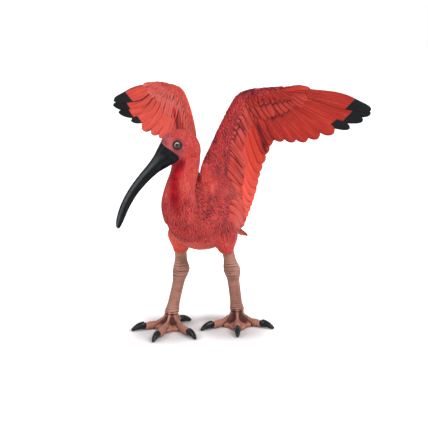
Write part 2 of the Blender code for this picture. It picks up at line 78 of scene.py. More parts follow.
eye_box = np.array(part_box("eye_left"))
SHIFT = eye_box.mean(axis=0) / MM - head_place(*EYE)
SHIFT[2] = 0.0


def to_scene(points):
    return (np.asarray(points) + SHIFT) * MM


print("the model stands", SHIFT.round(2), "mm from the bird's own frame")

# %% [markdown]
# ## Camera, floor and light
# The photograph looks at the figure from a little above and from its left, with a long lens.
# The floor is a pale disc under a plain bright sky, and the background is as white as the
# floor, so the two run into one another and only the soft shadow under the feet is left. That
# shadow is partly painted: the floor's paint darkens round the feet.

# %% Camera
AZIMUTH, ELEVATION = math.radians(25.0), math.radians(15.0)
DISTANCE = 480.0
PIXEL = 0.4  # millimetres for each pixel of the photograph, at the bird's middle
BIRD_PIXEL = (204.5, 324.5)  # where the bird's own origin shows
PICTURE = 428
SENSOR = 36.0
view_right = np.array((math.cos(AZIMUTH), math.sin(AZIMUTH), 0.0))
view_back = np.array((
    math.sin(AZIMUTH) * math.cos(ELEVATION), -math.cos(AZIMUTH) * math.cos(ELEVATION), math.sin(ELEVATION)))
view_up = np.cross(view_back, view_right)
middle = PICTURE / 2
target = ((middle - BIRD_PIXEL[0]) * view_right + (BIRD_PIXEL[1] - middle) * view_up) * PIXEL
lens = bpy.data.cameras.new("camera")
lens.sensor_width = SENSOR
lens.lens = SENSOR * DISTANCE / (PICTURE * PIXEL)
lens.clip_start = 0.01
camera = bpy.data.objects.new("camera", lens)
bpy.context.collection.objects.link(camera)
camera.location = to_scene(target + DISTANCE * view_back)
camera.rotation_euler = Vector(view_back).to_track_quat("Z", "Y").to_euler()
bpy.context.scene.camera = camera
bpy.context.scene.view_settings.view_transform = "Standard"
print("lens", round(lens.lens, 2), "mm")

# %% [markdown]
# ## Shader maths
# A material is a small calculation, and it reads best when it is written as one. This class
# wraps a socket, so that `1 - mask` or `mask * 0.5` adds the Math node that works it out.

# %% A socket that takes part in sums


class Wire:
    """One socket's output, as a number that can be added, multiplied and so on."""

    def __init__(self, finish, socket):
        self.finish, self.socket = finish, socket

    def maths(self, operation, *values):
        return self.finish.node("ShaderNodeMath", dict(operation=operation), *values)

    def __add__(self, other):
        return self.maths("ADD", self, other)

    def __sub__(self, other):
        return self.maths("SUBTRACT", self, other)

    def __rsub__(self, other):
        return self.maths("SUBTRACT", other, self)

    def __mul__(self, other):
        return self.maths("MULTIPLY", self, other)

    def __truediv__(self, other):
        return self.maths("DIVIDE", self, other)

    def __pow__(self, other):
        return self.maths("POWER", self, other)

    __radd__, __rmul__ = __add__, __mul__

    def low(self, other):
        return self.maths("MINIMUM", self, other)

    def high(self, other):
        return self.maths("MAXIMUM", self, other)

    def sine(self):
        return self.maths("SINE", self)

    def size(self):
        return self.maths("ABSOLUTE", self)

    def step(self, start, end, to=(0.0, 1.0)):
        """A soft step: to[0] before start, to[1] after end."""
        values = dict(Value=self) | {"From Min": start, "From Max": end, "To Min": to[0], "To Max": to[1]}
        return self.finish.node("ShaderNodeMapRange", dict(interpolation_type="SMOOTHSTEP"), **values)


class Finish:
    """A paint finish: a material with one Principled shader, and short ways to feed it."""

    def __init__(self, name, roughness=0.5, coat=0.0, shine=0.2):
        self.material = bpy.data.materials.new(name)
        self.material.use_nodes = True
        self.tree = self.material.node_tree
        self.shader = self.tree.nodes["Principled BSDF"]
        self.shader.inputs["Roughness"].default_value = roughness
        self.shader.inputs["Coat Weight"].default_value = coat
        self.shader.inputs["Coat Roughness"].default_value = 0.15
        self.shader.inputs["Specular IOR Level"].default_value = shine

    def node(self, kind, settings=None, *values, output=0, **named):
        """Add a node: its settings first, then the values or links of its sockets."""
        made = self.tree.nodes.new(kind)
        for key, value in (settings or {}).items():
            if key == "stops":
                self.set_stops(made.color_ramp, value)
            else:
                setattr(made, key, value)
        for key, value in list(enumerate(values)) + list(named.items()):
            self.feed(made.inputs[key], value)
        return Wire(self, made.outputs[output])

    def set_stops(self, ramp, stops):
        while len(ramp.elements) < len(stops):
            ramp.elements.new(1.0)
        for element, (place, colour) in zip(ramp.elements, stops):
            element.position, element.color = place, (*colour, 1.0)

    def feed(self, socket, value):
        if isinstance(value, Wire):
            self.tree.links.new(value.socket, socket)
        elif socket.type == "RGBA":
            socket.default_value = (*value, 1.0)
        else:
            socket.default_value = value

    def blend(self, mask, first, second, how="MIX"):
        """From the first colour to the second as the mask goes from 0 to 1."""
        settings = dict(data_type="RGBA", blend_type=how, clamp_factor=True)
        made = self.node("ShaderNodeMix", settings, output=2)
        mix = made.socket.node
        for socket, value in ((mix.inputs[0], mask), (mix.inputs[6], first), (mix.inputs[7], second)):
            self.feed(socket, value)
        return made

    def place(self):
        return self.node("ShaderNodeTexCoord", output="Object")

    def mark(self, name, output="Fac"):
        """What a piece's mesh carries for the painter, such as how far along a feather."""
        return self.node("ShaderNodeAttribute", dict(attribute_name=name), output=output)

    def grain(self, scale, detail=3.0, stretch=None, where=None):
        """A soft cloudy pattern, from 0 to 1, with scale clouds for each metre."""
        where = where or self.place()
        if stretch:
            where = self.node("ShaderNodeVectorMath", dict(operation="MULTIPLY"), where, stretch)
        values = dict(Vector=where, Scale=scale, Detail=detail)
        return self.node("ShaderNodeTexNoise", None, **values)

    def paint(self, colour, bump=None, strength=0.5, reach=0.0002, roughness=None):
        self.feed(self.shader.inputs["Base Color"], colour)
        if roughness is not None:
            self.feed(self.shader.inputs["Roughness"], roughness)
        if bump is not None:
            values = dict(Height=bump, Strength=strength, Distance=reach)
            self.feed(self.shader.inputs["Normal"], self.node("ShaderNodeBump", None, **values))
        return self.material


print("shader maths ready")

# %% Floor and lights
FLOOR_RADIUS = 0.9
# middle of the floor's painted shadow, a little in front of the feet, in metres
SHADOW_MIDDLE = (0.006, -0.014, 0.0)
floor_shape = bmesh.new()
bmesh.ops.create_circle(floor_shape, cap_ends=True, segments=96, radius=FLOOR_RADIUS)
floor_mesh = bpy.data.meshes.new("floor")
floor_shape.to_mesh(floor_mesh)
floor_shape.free()
floor = bpy.data.objects.new("floor", floor_mesh)
bpy.context.collection.objects.link(floor)
pale = Finish("pale floor", roughness=0.9)
tint = pale.grain(12.0)
# The floor is painted darker round the feet, a painted shadow: darkest near each foot, fading out between about 2 and 4
# cm from its middle.
away = pale.node("ShaderNodeVectorMath", dict(operation="DISTANCE"), pale.place(), SHADOW_MIDDLE, output="Value")
right_foot, left_foot = (
    pale.node("ShaderNodeVectorMath", dict(operation="DISTANCE"), pale.place(), (x, y, 0.0), output="Value")
    for x, y in ((-0.0112, -0.0062), (0.0110, 0.0078)))
shadow_under_feet = pale.blend(tint, (0.62, 0.61, 0.615), (0.64, 0.635, 0.64))
shadow_under_feet = pale.blend(right_foot.low(left_foot).step(0.010, 0.021), (0.43, 0.41, 0.415), shadow_under_feet)
around_feet = pale.blend(tint, (0.955, 0.955, 0.96), (0.97, 0.97, 0.97))
floor_mesh.materials.append(pale.paint(pale.blend(away.step(0.022, 0.044), shadow_under_feet, around_feet)))

world = bpy.data.worlds.new("sky")
bpy.context.scene.world = world
world.use_nodes = True
world.node_tree.nodes["Background"].inputs["Color"].default_value = (1.0, 1.0, 1.0, 1.0)
world.node_tree.nodes["Background"].inputs["Strength"].default_value = 1.0


def softbox(name, offset, size, power):
    """A square area light that looks at the bird's middle from an offset in metres."""
    panel = bpy.data.lights.new(name, "AREA")
    panel.size, panel.energy = size, power
    lamp = bpy.data.objects.new(name, panel)
    bpy.context.collection.objects.link(lamp)
    lamp.location = Vector(offset) + Vector((0, 0, 0.05))
    lamp.rotation_euler = Vector(offset).to_track_quat("Z", "Y").to_euler()


view_side = Vector(view_right)
view_front = Vector((view_back[0], view_back[1], 0)).normalized()
softbox("right light", view_front * 0.35 + view_side * 0.55 + Vector((0, 0, 0.6)), 0.5, 7.5)
softbox("left light", view_front * 0.3 - view_side * 0.6 + Vector((0, 0, 0.5)), 0.3, 3.0)
softbox("low light", view_front * 0.7 + view_side * 0.1 + Vector((0, 0, 0.1)), 0.25, 1.2)
print("floor, sky and three soft lights")

# %% [markdown]
# ## Curves and tubes
# Every part of a bird is close to a tube: the body, the neck, a leg, a toe, even a single
# feather, which is a tube pressed flat. One helper makes a plain closed tube with bmesh's
# cone, cuts it into rings, and hands each corner to a function that says where it goes.
# When many alike are needed, an Array modifier repeats the plain tube first.

# %% Tubes with marks


def along(points, t):
    """The places at t, from 0 to 1, on a smooth curve through evenly spaced points."""
    rows = np.asarray(points, float)
    last = len(rows) - 1
    t = np.clip(np.asarray(t, float), 0.0, 1.0) * last
    index = np.minimum(t.astype(int), last - 1)
    f = (t - index)[..., None]
    p1, p2 = rows[index], rows[index + 1]
    p0 = np.where((index > 0)[..., None], rows[np.maximum(index - 1, 0)], 2 * p1 - p2)
    p3 = np.where((index + 2 <= last)[..., None], rows[np.minimum(index + 2, last)], 2 * p2 - p1)
    bend = 2 * p0 - 5 * p1 + 4 * p2 - p3
    turn = -p0 + 3 * p1 - 3 * p2 + p3
    return 0.5 * (2 * p1 + (p2 - p0) * f + bend * f * f + turn * f ** 3)


def unit(vectors):
    vectors = np.asarray(vectors, float)
    return vectors / np.maximum(np.linalg.norm(vectors, axis=-1, keepdims=True), 1e-9)


def pile(values):
    """Three arrays of one shape as one array of points."""
    return np.stack(np.broadcast_arrays(*values), axis=-1)


def added(name, mesh):
    item = bpy.data.objects.new(name, mesh)
    bpy.context.collection.objects.link(item)
    return item


def plain_tube(name, sides, rings, count=1):
    """Count plain closed tubes in one mesh, all of them in the same place."""
    shape = bmesh.new()
    bmesh.ops.create_cone(shape, cap_ends=True, segments=sides, radius1=1, radius2=1, depth=1)
    lengthwise = [e for e in shape.edges if abs(e.verts[0].co.z - e.verts[1].co.z) > 0.5]
    bmesh.ops.subdivide_edges(shape, edges=lengthwise, cuts=rings - 2, use_grid_fill=False)
    mesh = bpy.data.meshes.new(name)
    shape.to_mesh(mesh)
    shape.free()
    item = added(name, mesh)
    if count > 1:
        copies = item.modifiers.new("copies", "ARRAY")
        copies.count = count
        copies.use_relative_offset = False
        settle(item)
    return item


def settle(item):
    """Make an object's modifiers part of its mesh."""
    graph = bpy.context.evaluated_depsgraph_get()
    mesh = bpy.data.meshes.new_from_object(item.evaluated_get(graph))
    item.modifiers.clear()
    item.data = mesh
    mesh.name = item.name
    return item


def corners(mesh):
    flat = np.empty(len(mesh.vertices) * 3)
    mesh.vertices.foreach_get("co", flat)
    return flat.reshape(-1, 3)


def put_corners(mesh, points):
    mesh.vertices.foreach_set("co", np.asarray(points, float).ravel())
    mesh.update()


def put_mark(mesh, name, values):
    """One number for each corner, which a material can read by this name."""
    mark = mesh.attributes.new(name, "FLOAT", "POINT")
    mark.data.foreach_set("value", np.asarray(values, np.float32).ravel())


def outward(item):
    """Turn every closed shell of a mesh the right way out."""
    shape = bmesh.new()
    shape.from_mesh(item.data)
    bmesh.ops.recalc_face_normals(shape, faces=shape.faces)
    shape.to_mesh(item.data)
    shape.free()
    return item


def tubes(name, sides, rings, count, place, **marks):
    """Tubes whose corners go where place(t, angle, index) says, in the bird's millimetres."""
    item = plain_tube(name, sides, rings, count)
    start = corners(item.data).reshape(count, -1, 3)
    t = np.clip(start[..., 2] + 0.5, 0.0, 1.0)
    angle = np.arctan2(start[..., 1], start[..., 0])
    index = np.broadcast_to(np.arange(count)[:, None], t.shape)
    put_corners(item.data, to_scene(place(t, angle, index)).reshape(-1, 3))
    outward(item)
    item.data.shade_smooth()
    for mark, values in marks.items():
        put_mark(item.data, mark, values(t, angle, index))
    return item


def tube(name, sides, rings, place, **marks):
    return tubes(name, sides, rings, 1, lambda t, angle, index: place(t, angle), **marks)


def put_crease(item, rounds=1):
    """Mark how far each corner lies below its neighbours, as a share of a tenth of a millimetre."""
    mesh = item.data
    ends = np.empty(len(mesh.edges) * 2, np.int32)
    mesh.edges.foreach_get("vertices", ends)
    first, second = ends.reshape(-1, 2).T
    degree = np.bincount(ends, minlength=len(mesh.vertices)).astype(float)

    def mean_of_neighbours(values):
        total = np.bincount(first, values[second], len(degree)) + np.bincount(second, values[first], len(degree))
        return total / degree

    points = corners(mesh) / MM
    normals = np.empty(points.size)
    mesh.vertices.foreach_get("normal", normals)
    around = np.stack([mean_of_neighbours(points[:, axis]) for axis in range(3)], axis=-1)
    depth = ((around - points) * normals.reshape(-1, 3)).sum(axis=-1)
    for turn in range(rounds):
        depth = mean_of_neighbours(depth)
    put_mark(mesh, "crease", depth / 0.1)


def report(item):
    item.data.calc_loop_triangles()
    print(item.name, len(item.data.loop_triangles), "triangles")


print("tubes ready")

# %% [markdown]
# ## The bird's lines
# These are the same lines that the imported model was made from: sections of the body, neck,
# head and bill, and the two edges of a wing. The finer pieces below are laid over them, so
# they stay where the solids are.

# %% Sections of the flesh
BODY_SECTIONS = (
    (-24.0, 49.0, 3.0, 3.2), (-21.5, 49.6, 7.6, 5.6), (-15.5, 49.4, 11.8, 8.6), (-7.5, 48.6, 15.2, 10.9),
    (1.0, 46.2, 14.6, 12.0), (9.0, 43.5, 12.0, 10.4), (17.0, 40.3, 8.4, 7.8), (23.0, 37.4, 5.2, 5.4),
    (26.5, 35.6, 2.4, 3.2))
NECK_SECTIONS = (
    (1.5, -18.3, 72.6, 5.2), (1.4, -18.8, 69.6, 5.2), (1.0, -19.6, 66.0, 5.1), (0.5, -21.4, 62.0, 5.4),
    (0.2, -22.4, 58.5, 5.9), (0.2, -22.4, 54.5, 6.5), (0.2, -20.5, 49.0, 6.4))
HEAD_SECTIONS = (
    (-7.6, -1.8, 1.4, 1.4), (-6.6, -1.4, 4.0, 3.2), (-4.2, -0.5, 5.8, 4.5), (-1.0, 0.0, 6.6, 5.2),
    (2.6, 0.3, 6.3, 5.2), (5.4, 0.2, 5.1, 4.1), (7.4, 0.0, 3.2, 2.8), (8.0, -0.1, 1.2, 1.2))
THIGH_TOP = 43.5
THIGH_RADII = (1.2, 4.8, 5.8, 5.0, 3.5, 2.4)
THIGH_DEPTH = 1.15
LEGS = {
    "right": dict(hip=(-7.6, -1.6), knee=(-9.8, -1.3, 29.6), hock=(-10.6, 0.8, 21.5), foot=(-11.3, -6.6)),
    "left": dict(hip=(6.2, 0.4), knee=(9.3, 0.9, 31.0), hock=(9.9, 4.6, 23.0), foot=(10.9, 7.4)),
}


def body_point(t, angle):
    reach, level, half_height, half_width = np.moveaxis(along(BODY_SECTIONS, t), -1, 0)
    return pile((half_width * np.cos(angle), reach, level + half_height * np.sin(angle)))


def neck_point(t, angle):
    here = along(NECK_SECTIONS, t)
    ahead = (along(NECK_SECTIONS, t + 0.02) - along(NECK_SECTIONS, t - 0.02))[..., :3]
    across = np.array((1.0, 0.0, 0.0))
    front = unit(np.cross(ahead, across))
    return here[..., :3] + here[..., 3:] * (np.cos(angle)[..., None] * across + np.sin(angle)[..., None] * front)


def head_point(t, angle):
    ahead, level, half_height, half_width = np.moveaxis(along(HEAD_SECTIONS, t), -1, 0)
    return head_place(ahead, half_width * np.cos(angle), level + half_height * np.sin(angle))


def thigh_point(t, angle, leg):
    hip, knee = np.array((*leg["hip"], THIGH_TOP)), np.array(leg["knee"])
    radius = along([(r, 0) for r in THIGH_RADII], t)[..., 0]
    around = pile((radius * np.cos(angle), THIGH_DEPTH * radius * np.sin(angle), 0 * radius))
    return hip + (knee - hip) * t[..., None] + around


# %% The sheet of a wing
WING_LEADING = (
    (5.0, -14.5, 59.5), (4.0, -11.3, 67.4), (3.7, -1.7, 74.5), (6.2, 2.4, 82.7), (11.8, 5.8, 93.0),
    (21.0, 11.5, 94.8), (31.3, 17.3, 94.4), (44.0, 24.0, 91.0), (56.8, 28.6, 84.6))
WING_TRAILING = (
    (6.3, 24.0, 34.5), (9.1, 23.8, 42.5), (12.2, 22.2, 50.5), (15.2, 20.0, 60.3), (22.0, 18.4, 72.6),
    (30.2, 23.0, 71.8), (38.6, 26.5, 73.0), (48.8, 30.4, 75.9), (58.0, 29.6, 81.8))
WING_CAMBER = (-1.4, 1.6)
WING_RAISE = 0.038
CORE_SPAN = (0.015, 0.78)
CORE_REACH, CORE_NARROWS = 0.44, 0.46
CORE_AHEAD = {1: 0.0, -1: 0.02}
CORE_THICKNESS, CORE_THINS = 2.6, 0.76
SHOULDER_SWELL, SHOULDER_REACH = 2.4, 0.4


def wing_point(span, chord, lift, side):
    """A point of a wing: span and chord from 0 to 1, lift off the sheet to the underside."""
    span, chord, lift = np.broadcast_arrays(np.asarray(span, float), chord, lift)

    def sheet(s, c):
        lead, trail = along(WING_LEADING, s), along(WING_TRAILING, s)
        return lead + (trail - lead) * c[..., None]

    step = 0.01
    along_span = sheet(np.minimum(span + step, 1.0), chord) - sheet(np.maximum(span - step, 0.0), chord)
    along_chord = sheet(span, chord + step) - sheet(span, chord - step)
    under = unit(np.cross(along_chord, along_span))
    depth = WING_CAMBER[0] + (WING_CAMBER[1] - WING_CAMBER[0]) * span
    bulge = depth * 4 * np.maximum(chord, 0.0) * (1 - np.minimum(chord, 1.0))
    point = sheet(span, chord) + under * (lift - bulge)[..., None]
    x = point[..., 0] * side
    return pile((x, point[..., 1], point[..., 2] + side * WING_RAISE * np.abs(x)))


def arm_point(t, angle, side):
    """The arm inside the wing, a flat spindle that thins towards the tip and the feathers."""
    span = CORE_SPAN[0] + (CORE_SPAN[1] - CORE_SPAN[0]) * t
    chord = CORE_REACH * (1 - CORE_NARROWS * t) * (0.5 - 0.5 * np.cos(angle)) - CORE_AHEAD[side]
    ends = np.where((t > 0) & (t < 1), 1.0, 0.4)
    thickness = CORE_THICKNESS * (1 - CORE_THINS * t) * ends
    swell = SHOULDER_SWELL * np.maximum(1 - t / SHOULDER_REACH, 0.0) * np.maximum(np.sin(angle), 0.0)
    return wing_point(span, chord, np.sin(angle) * thickness / 2 + swell, side)


print("wing span", round(2 * WING_LEADING[-1][0]), "mm")

# %% [markdown]
# ## One skin
# The toy's body, neck, head, thighs and the arms of its wings are one moulded surface, with no
# seam between them. Each is made as a tube, and a voxel remesh pours them into one closed
# shell, like casting. A few rounds of smoothing then soften the creases where they met.

# %% Flesh tubes and the flow of the plumage
SKIN_VOXEL = 0.45
SKIN_SMOOTHING = 7
FLOW_STEP = 0.02


def flow_of_body(t, angle):
    return np.broadcast_to(np.array((0.0, 1.0, -0.65)), (*t.shape, 3))


def flow_of_neck(t, angle):
    return neck_point(t + FLOW_STEP, angle) - neck_point(t - FLOW_STEP, angle)


def flow_of_head(t, angle):
    return np.broadcast_to(-HEAD_AHEAD - 0.45 * UP, (*t.shape, 3))


def flow_of_thigh(t, angle):
    return np.broadcast_to(np.array((0.0, 0.25, -1.0)), (*t.shape, 3))


def arm_flow(side):
    def flow(t, angle):
        span = CORE_SPAN[0] + (CORE_SPAN[1] - CORE_SPAN[0]) * t
        back = unit(wing_point(span, 0.5 + 0 * t, 0.0, side) - wing_point(span, 0.4 + 0 * t, 0.0, side))
        out = unit(wing_point(span + 0.03, 0.3 + 0 * t, 0.0, side) - wing_point(span - 0.03, 0.3 + 0 * t, 0.0, side))
        lean = np.where(span > 0.55, 0.55, -0.55)[..., None]
        return back + lean * out
    return flow


FLESH = {
    "body": (48, 36, body_point, flow_of_body),
    "neck": (32, 40, neck_point, flow_of_neck),
    "head": (36, 28, head_point, flow_of_head),
}
for side_name, leg in LEGS.items():
    FLESH["thigh " + side_name] = (28, 24, lambda t, angle, leg=leg: thigh_point(t, angle, leg), flow_of_thigh)
for side_name, side in (("left", 1), ("right", -1)):
    FLESH["arm " + side_name] = (
        40, 60, lambda t, angle, side=side: arm_point(t, angle, side), arm_flow(side))


def shoulder_point(t, angle, side):
    """Muscle that fills the angle between the back and the root of a wing."""
    place = along(((4.5, -15.0, 57.0, 3.2), (5.6, -10.5, 59.0, 5.2), (6.6, -3.0, 58.0, 5.6),
                   (7.2, 5.0, 53.0, 4.6), (6.6, 12.0, 47.0, 2.6)), t)
    radius = place[..., 3]
    around = pile((radius * np.cos(angle), 0 * radius, radius * np.sin(angle)))
    return (place[..., :3] + around) * np.array((side, 1, 1))


flesh = [tube(name, sides, rings, place) for name, (sides, rings, place, flow) in FLESH.items()]
flesh += [tube("shoulder", 24, 20, lambda t, angle: shoulder_point(t, angle, side)) for side in (1, -1)]


def cast(name, pieces, voxel, smoothing):
    """Pour closed pieces that cross one another into one smooth closed skin."""
    shape = bmesh.new()
    for piece in pieces:
        shape.from_mesh(piece.data)
        bpy.data.objects.remove(piece, do_unlink=True)
    mesh = bpy.data.meshes.new(name)
    shape.to_mesh(mesh)
    shape.free()
    item = added(name, mesh)
    pour = item.modifiers.new("pour", "REMESH")
    pour.mode = "VOXEL"
    pour.voxel_size = voxel * MM
    settle(item)
    shape = bmesh.new()
    shape.from_mesh(item.data)
    for turn in range(smoothing):
        bmesh.ops.smooth_vert(shape, verts=shape.verts, factor=0.5, use_axis_x=True, use_axis_y=True, use_axis_z=True)
    bmesh.ops.recalc_face_normals(shape, faces=shape.faces)
    shape.to_mesh(item.data)
    shape.free()
    item.data.shade_smooth()
    return item


skin = cast("bird_skin", flesh, SKIN_VOXEL, SKIN_SMOOTHING)
report(skin)

# %% [markdown]
# ## Where each colour goes
# The painter sprayed the whole figure scarlet, brushed a dark red wash over the relief, and
# touched up the thighs and the face. Light and shade are painted over that too: lighter red
# where light falls on the front of the neck, the breast, the body's left side and the arm of the
# right wing, painted shade in a few hollows, and a deep crimson streak of painted shade down the
# front of the neck. Skin and feathers must agree on that, so one function says for any place on
# the bird how much of each paint it gets.

# %% A map of the paint


def near(points, centre, reach):
    """1 at the centre, falling softly to 0 at about twice the reach."""
    away = np.linalg.norm(points - np.asarray(centre, float), axis=-1)
    return np.exp(-(away / reach) ** 2)


def fade(values, start, end):
    f = np.clip((values - start) / (end - start), 0.0, 1.0)
    return f * f * (3 - 2 * f)


# A streak of painted shade down the front of the neck, under the head and bill:
NECK_SHADE_STREAK = (  # places down the front of the neck, and the streak's half width there
    (1.9, -23.9, 71.0, 2.2), (0.9, -24.2, 69.0, 2.6), (0.2, -24.8, 66.6, 2.6), (0.3, -26.1, 64.3, 2.4),
    (1.0, -27.2, 61.6, 2.4), (1.3, -27.8, 59.2, 2.7), (1.6, -28.0, 57.0, 2.6), (2.3, -27.7, 54.6, 2.0),
    (3.0, -27.2, 52.6, 1.2))
STREAK_PARTS = 33
WASH_AND_SHADE_SPOTS = (  # where dark wash and painted shade collect, and the reach
    ((2.7, -12.0, 62.2), 2.4), ((3.6, -15.5, 60.0), 2.0), ((8.5, -13.6, 54.3), 1.8), ((9.4, -12.9, 51.1), 1.8),
    ((8.5, -15.5, 50.5), 1.5), ((1.5, -28.4, 54.0), 2.0), ((10.8, -5.0, 43.4), 2.6), ((8.9, 3.0, 63.3), 2.5))
BARE_SPOTS = (  # ahead, sideways and up from the head's middle, and the reach
    (3.3, 4.8, 1.7, 3.0), (5.0, 4.2, 1.6, 2.8), (6.6, 2.6, 2.0, 2.8), (4.2, 4.6, -0.2, 2.6), (3.0, 4.8, -1.6, 2.0),
    (6.2, 1.2, 3.4, 2.4))


def paint_map(points):
    """For points in the bird's millimetres, each from 0 to 1: wash, with painted shade in a few hollows; lighter paint
    and painted light; painted shade; and bare.
    """
    x, y, z = np.moveaxis(np.asarray(points, float), -1, 0)
    neck_front = fade(z, 56.0, 61.0) * fade(-y, 7.0, 11.0)
    low = 1 - fade(z, 36.5, 42.5)
    right_arm = fade(-x, 2.0, 5.0) * fade(z, 62.0, 70.0) * fade(y, -12.0, -8.0)
    hand = fade(np.abs(x), 26.0, 31.0)
    head = fade(z, 68.0, 72.0) * fade(-y, 8.0, 11.0)
    side = fade(x, 3.0, 8.0) * fade(z, 38.0, 44.0) * (1 - fade(z, 56.0, 62.0))
    breast = fade(-y, 18.0, 24.0)
    # Lighter and more orange on the thighs, belly and wing hands, and painted light where light falls on the front of
    # the neck, the breast, the body's left side and the right wing's arm.
    bright = np.clip(neck_front + 0.9 * low + right_arm + 0.5 * hand + 0.45 * side + 0.35 * breast, 0.0, 1.0)
    bright = bright + low * (1 - 0.8 * fade(x, 2.0, 7.0)) + 0.5 * right_arm
    wash = 1.0 - 0.6 * neck_front - 0.3 * low - 0.3 * head - 0.5 * right_arm - 0.8 * hand
    wash = np.clip(wash, 0.0, 1.0)
    # The spots add painted shade to the wash, in hollows between the neck, the body and the wings.
    for centre, reach in WASH_AND_SHADE_SPOTS:
        wash = wash + near(points, centre, reach)
    # A streak of painted shade runs down the front of the neck, under the head and bill.
    deep = np.zeros_like(x)
    for centre in along(NECK_SHADE_STREAK, np.linspace(0.0, 1.0, STREAK_PARTS)):
        deep = np.maximum(deep, near(points, centre[:3], centre[3]))
    deep = deep * (0.7 + 0.3 * fade(z, 54.0, 60.0))
    bare = np.zeros_like(x)
    for side in (1, -1):
        # a patch of painted shade under the brow, behind and above each eye
        ring = head_place(EYE[0] - 0.6, side * EYE[1], EYE[2] + 0.5)
        deep = np.maximum(deep, 0.7 * near(points, ring, 2.4))
        for ahead, out, up, reach in BARE_SPOTS:
            bare = np.maximum(bare, near(points, head_place(ahead, side * out, up), reach))
    return wash, bright, deep, bare


def put_paint(mesh, points):
    """Store the paint map in a mesh as one colour mark, its four parts the four paints."""
    mark = mesh.attributes.new("paint", "FLOAT_COLOR", "POINT")
    mark.data.foreach_set("color", np.stack(paint_map(points), axis=-1).astype(np.float32).ravel())


def from_scene(points):
    return np.asarray(points) / MM - SHIFT


put_paint(skin.data, from_scene(corners(skin.data)))
print("paint map stored")

# %% [markdown]
# ## Small feathers
# The mould has thousands of small strokes cut into it, each the edge of a feather that lies
# on the next. Bump alone would leave the outline smooth, so each is a thin tongue of mesh
# that starts under the skin and ends just above it. Their places are random points on the
# skin, kept if none is too near, and each tongue follows the lie of the plumage.

# %% Lie of the plumage
flow_places, flow_ways, flow_unwrap = [], [], []
for tile, (name, (sides, rings, place, flow)) in enumerate(FLESH.items()):
    t, angle = np.meshgrid(np.linspace(0.03, 0.97, rings), np.linspace(-math.pi, math.pi, sides, endpoint=False))
    flow_places.append(place(t, angle).reshape(-1, 3))
    flow_ways.append(np.broadcast_to(unit(flow(t, angle)), (*t.shape, 3)).reshape(-1, 3))
    u = (tile % 3 + 0.03 + 0.94 * (angle / (2 * math.pi) + 0.5)) / 3
    v = (tile // 3 + 0.03 + 0.94 * t) / 3
    flow_unwrap.append(np.stack((u, v), axis=-1).reshape(-1, 2))
flow_places, flow_ways, flow_unwrap = (np.concatenate(part) for part in (flow_places, flow_ways, flow_unwrap))
flow_tree = kdtree.KDTree(len(flow_places))
for index, place in enumerate(flow_places):
    flow_tree.insert(place, index)
flow_tree.balance()
FLOW_NEIGHBOURS = 12
FLOW_REACH = 2.5


def lie_at(point):
    """The direction in which the plumage lies, and the place on the unwrap."""
    found = flow_tree.find_n(point, FLOW_NEIGHBOURS)
    nearest = found[0][2]
    weights = np.array([math.exp(-((away - nearest) / FLOW_REACH) ** 2) for place, index, away in found])
    ways = flow_ways[[index for place, index, away in found]]
    return (weights[:, None] * ways).sum(axis=0), flow_unwrap[found[0][1]]


# %% Places of the small feathers
SEED_TRIES = 200000
rng = np.random.default_rng(7)
skin_points = from_scene(corners(skin.data))
skin.data.calc_loop_triangles()
triangles = np.empty(len(skin.data.loop_triangles) * 3, np.int32)
skin.data.loop_triangles.foreach_get("vertices", triangles)
triangles = triangles.reshape(-1, 3)
skin_tree = BVHTree.FromPolygons(skin_points.tolist(), triangles.tolist())
a, b, c = (skin_points[triangles[:, k]] for k in range(3))
areas = np.linalg.norm(np.cross(b - a, c - a), axis=1)
picked = rng.choice(len(triangles), SEED_TRIES, p=areas / areas.sum())
f, g = rng.random((2, SEED_TRIES))
flip = f + g > 1
f, g = np.where(flip, 1 - f, f)[:, None], np.where(flip, 1 - g, g)[:, None]
tries = a[picked] + (b[picked] - a[picked]) * f + (c[picked] - a[picked]) * g


STROKE_COARSE, STROKE_FINE = 0.70, 0.48


def stroke_size(points):
    """Width of the small feathers: fine on the neck and head, wider on body and wings."""
    fine = fade(points[:, 2], 53.0, 60.0) * fade(-points[:, 1], 9.0, 13.0)
    return STROKE_COARSE + (STROKE_FINE - STROKE_COARSE) * fine


sizes = stroke_size(tries)
SPACING = 0.66  # between two roots, as a share of the width
tries_tree = kdtree.KDTree(SEED_TRIES)
for index, point in enumerate(tries):
    tries_tree.insert(point, index)
tries_tree.balance()
blocked = paint_map(tries)[3] > 0.62
seeds = []
for index in range(SEED_TRIES):
    if not blocked[index]:
        seeds.append(index)
        for place, other, away in tries_tree.find_range(tries[index], SPACING * sizes[index]):
            blocked[other] = True
print(len(seeds), "small feathers")

# %% Spines of the small feathers
STROKE_LENGTH = 3.0  # as a share of the width
STROKE_RINGS = 4
SWIRL = 0.45  # how far the lie wanders, in radians
SWIRL_SCALE = 0.13
JITTER = 0.12


def spine_of(seed, size):
    """Points and normals from a small feather's root to its tip, laid on the skin."""
    point = Vector(tries[seed])
    lie, unwrap = lie_at(point)
    way = Vector(lie)
    swirl = SWIRL * noise.noise(point * SWIRL_SCALE) * 2 + rng.normal(0.0, JITTER)
    step = STROKE_LENGTH * size * rng.uniform(0.8, 1.2) / (STROKE_RINGS - 1)
    points, normals = [], []
    for ring in range(STROKE_RINGS):
        place, normal, face, away = skin_tree.find_nearest(point)
        points.append(place)
        normals.append(normal)
        flat = way - normal * way.dot(normal)
        way = flat.normalized()
        if ring == 0:
            way = way * math.cos(swirl) + normal.cross(way) * math.sin(swirl)
        point = place + way * step
    return points, normals, unwrap


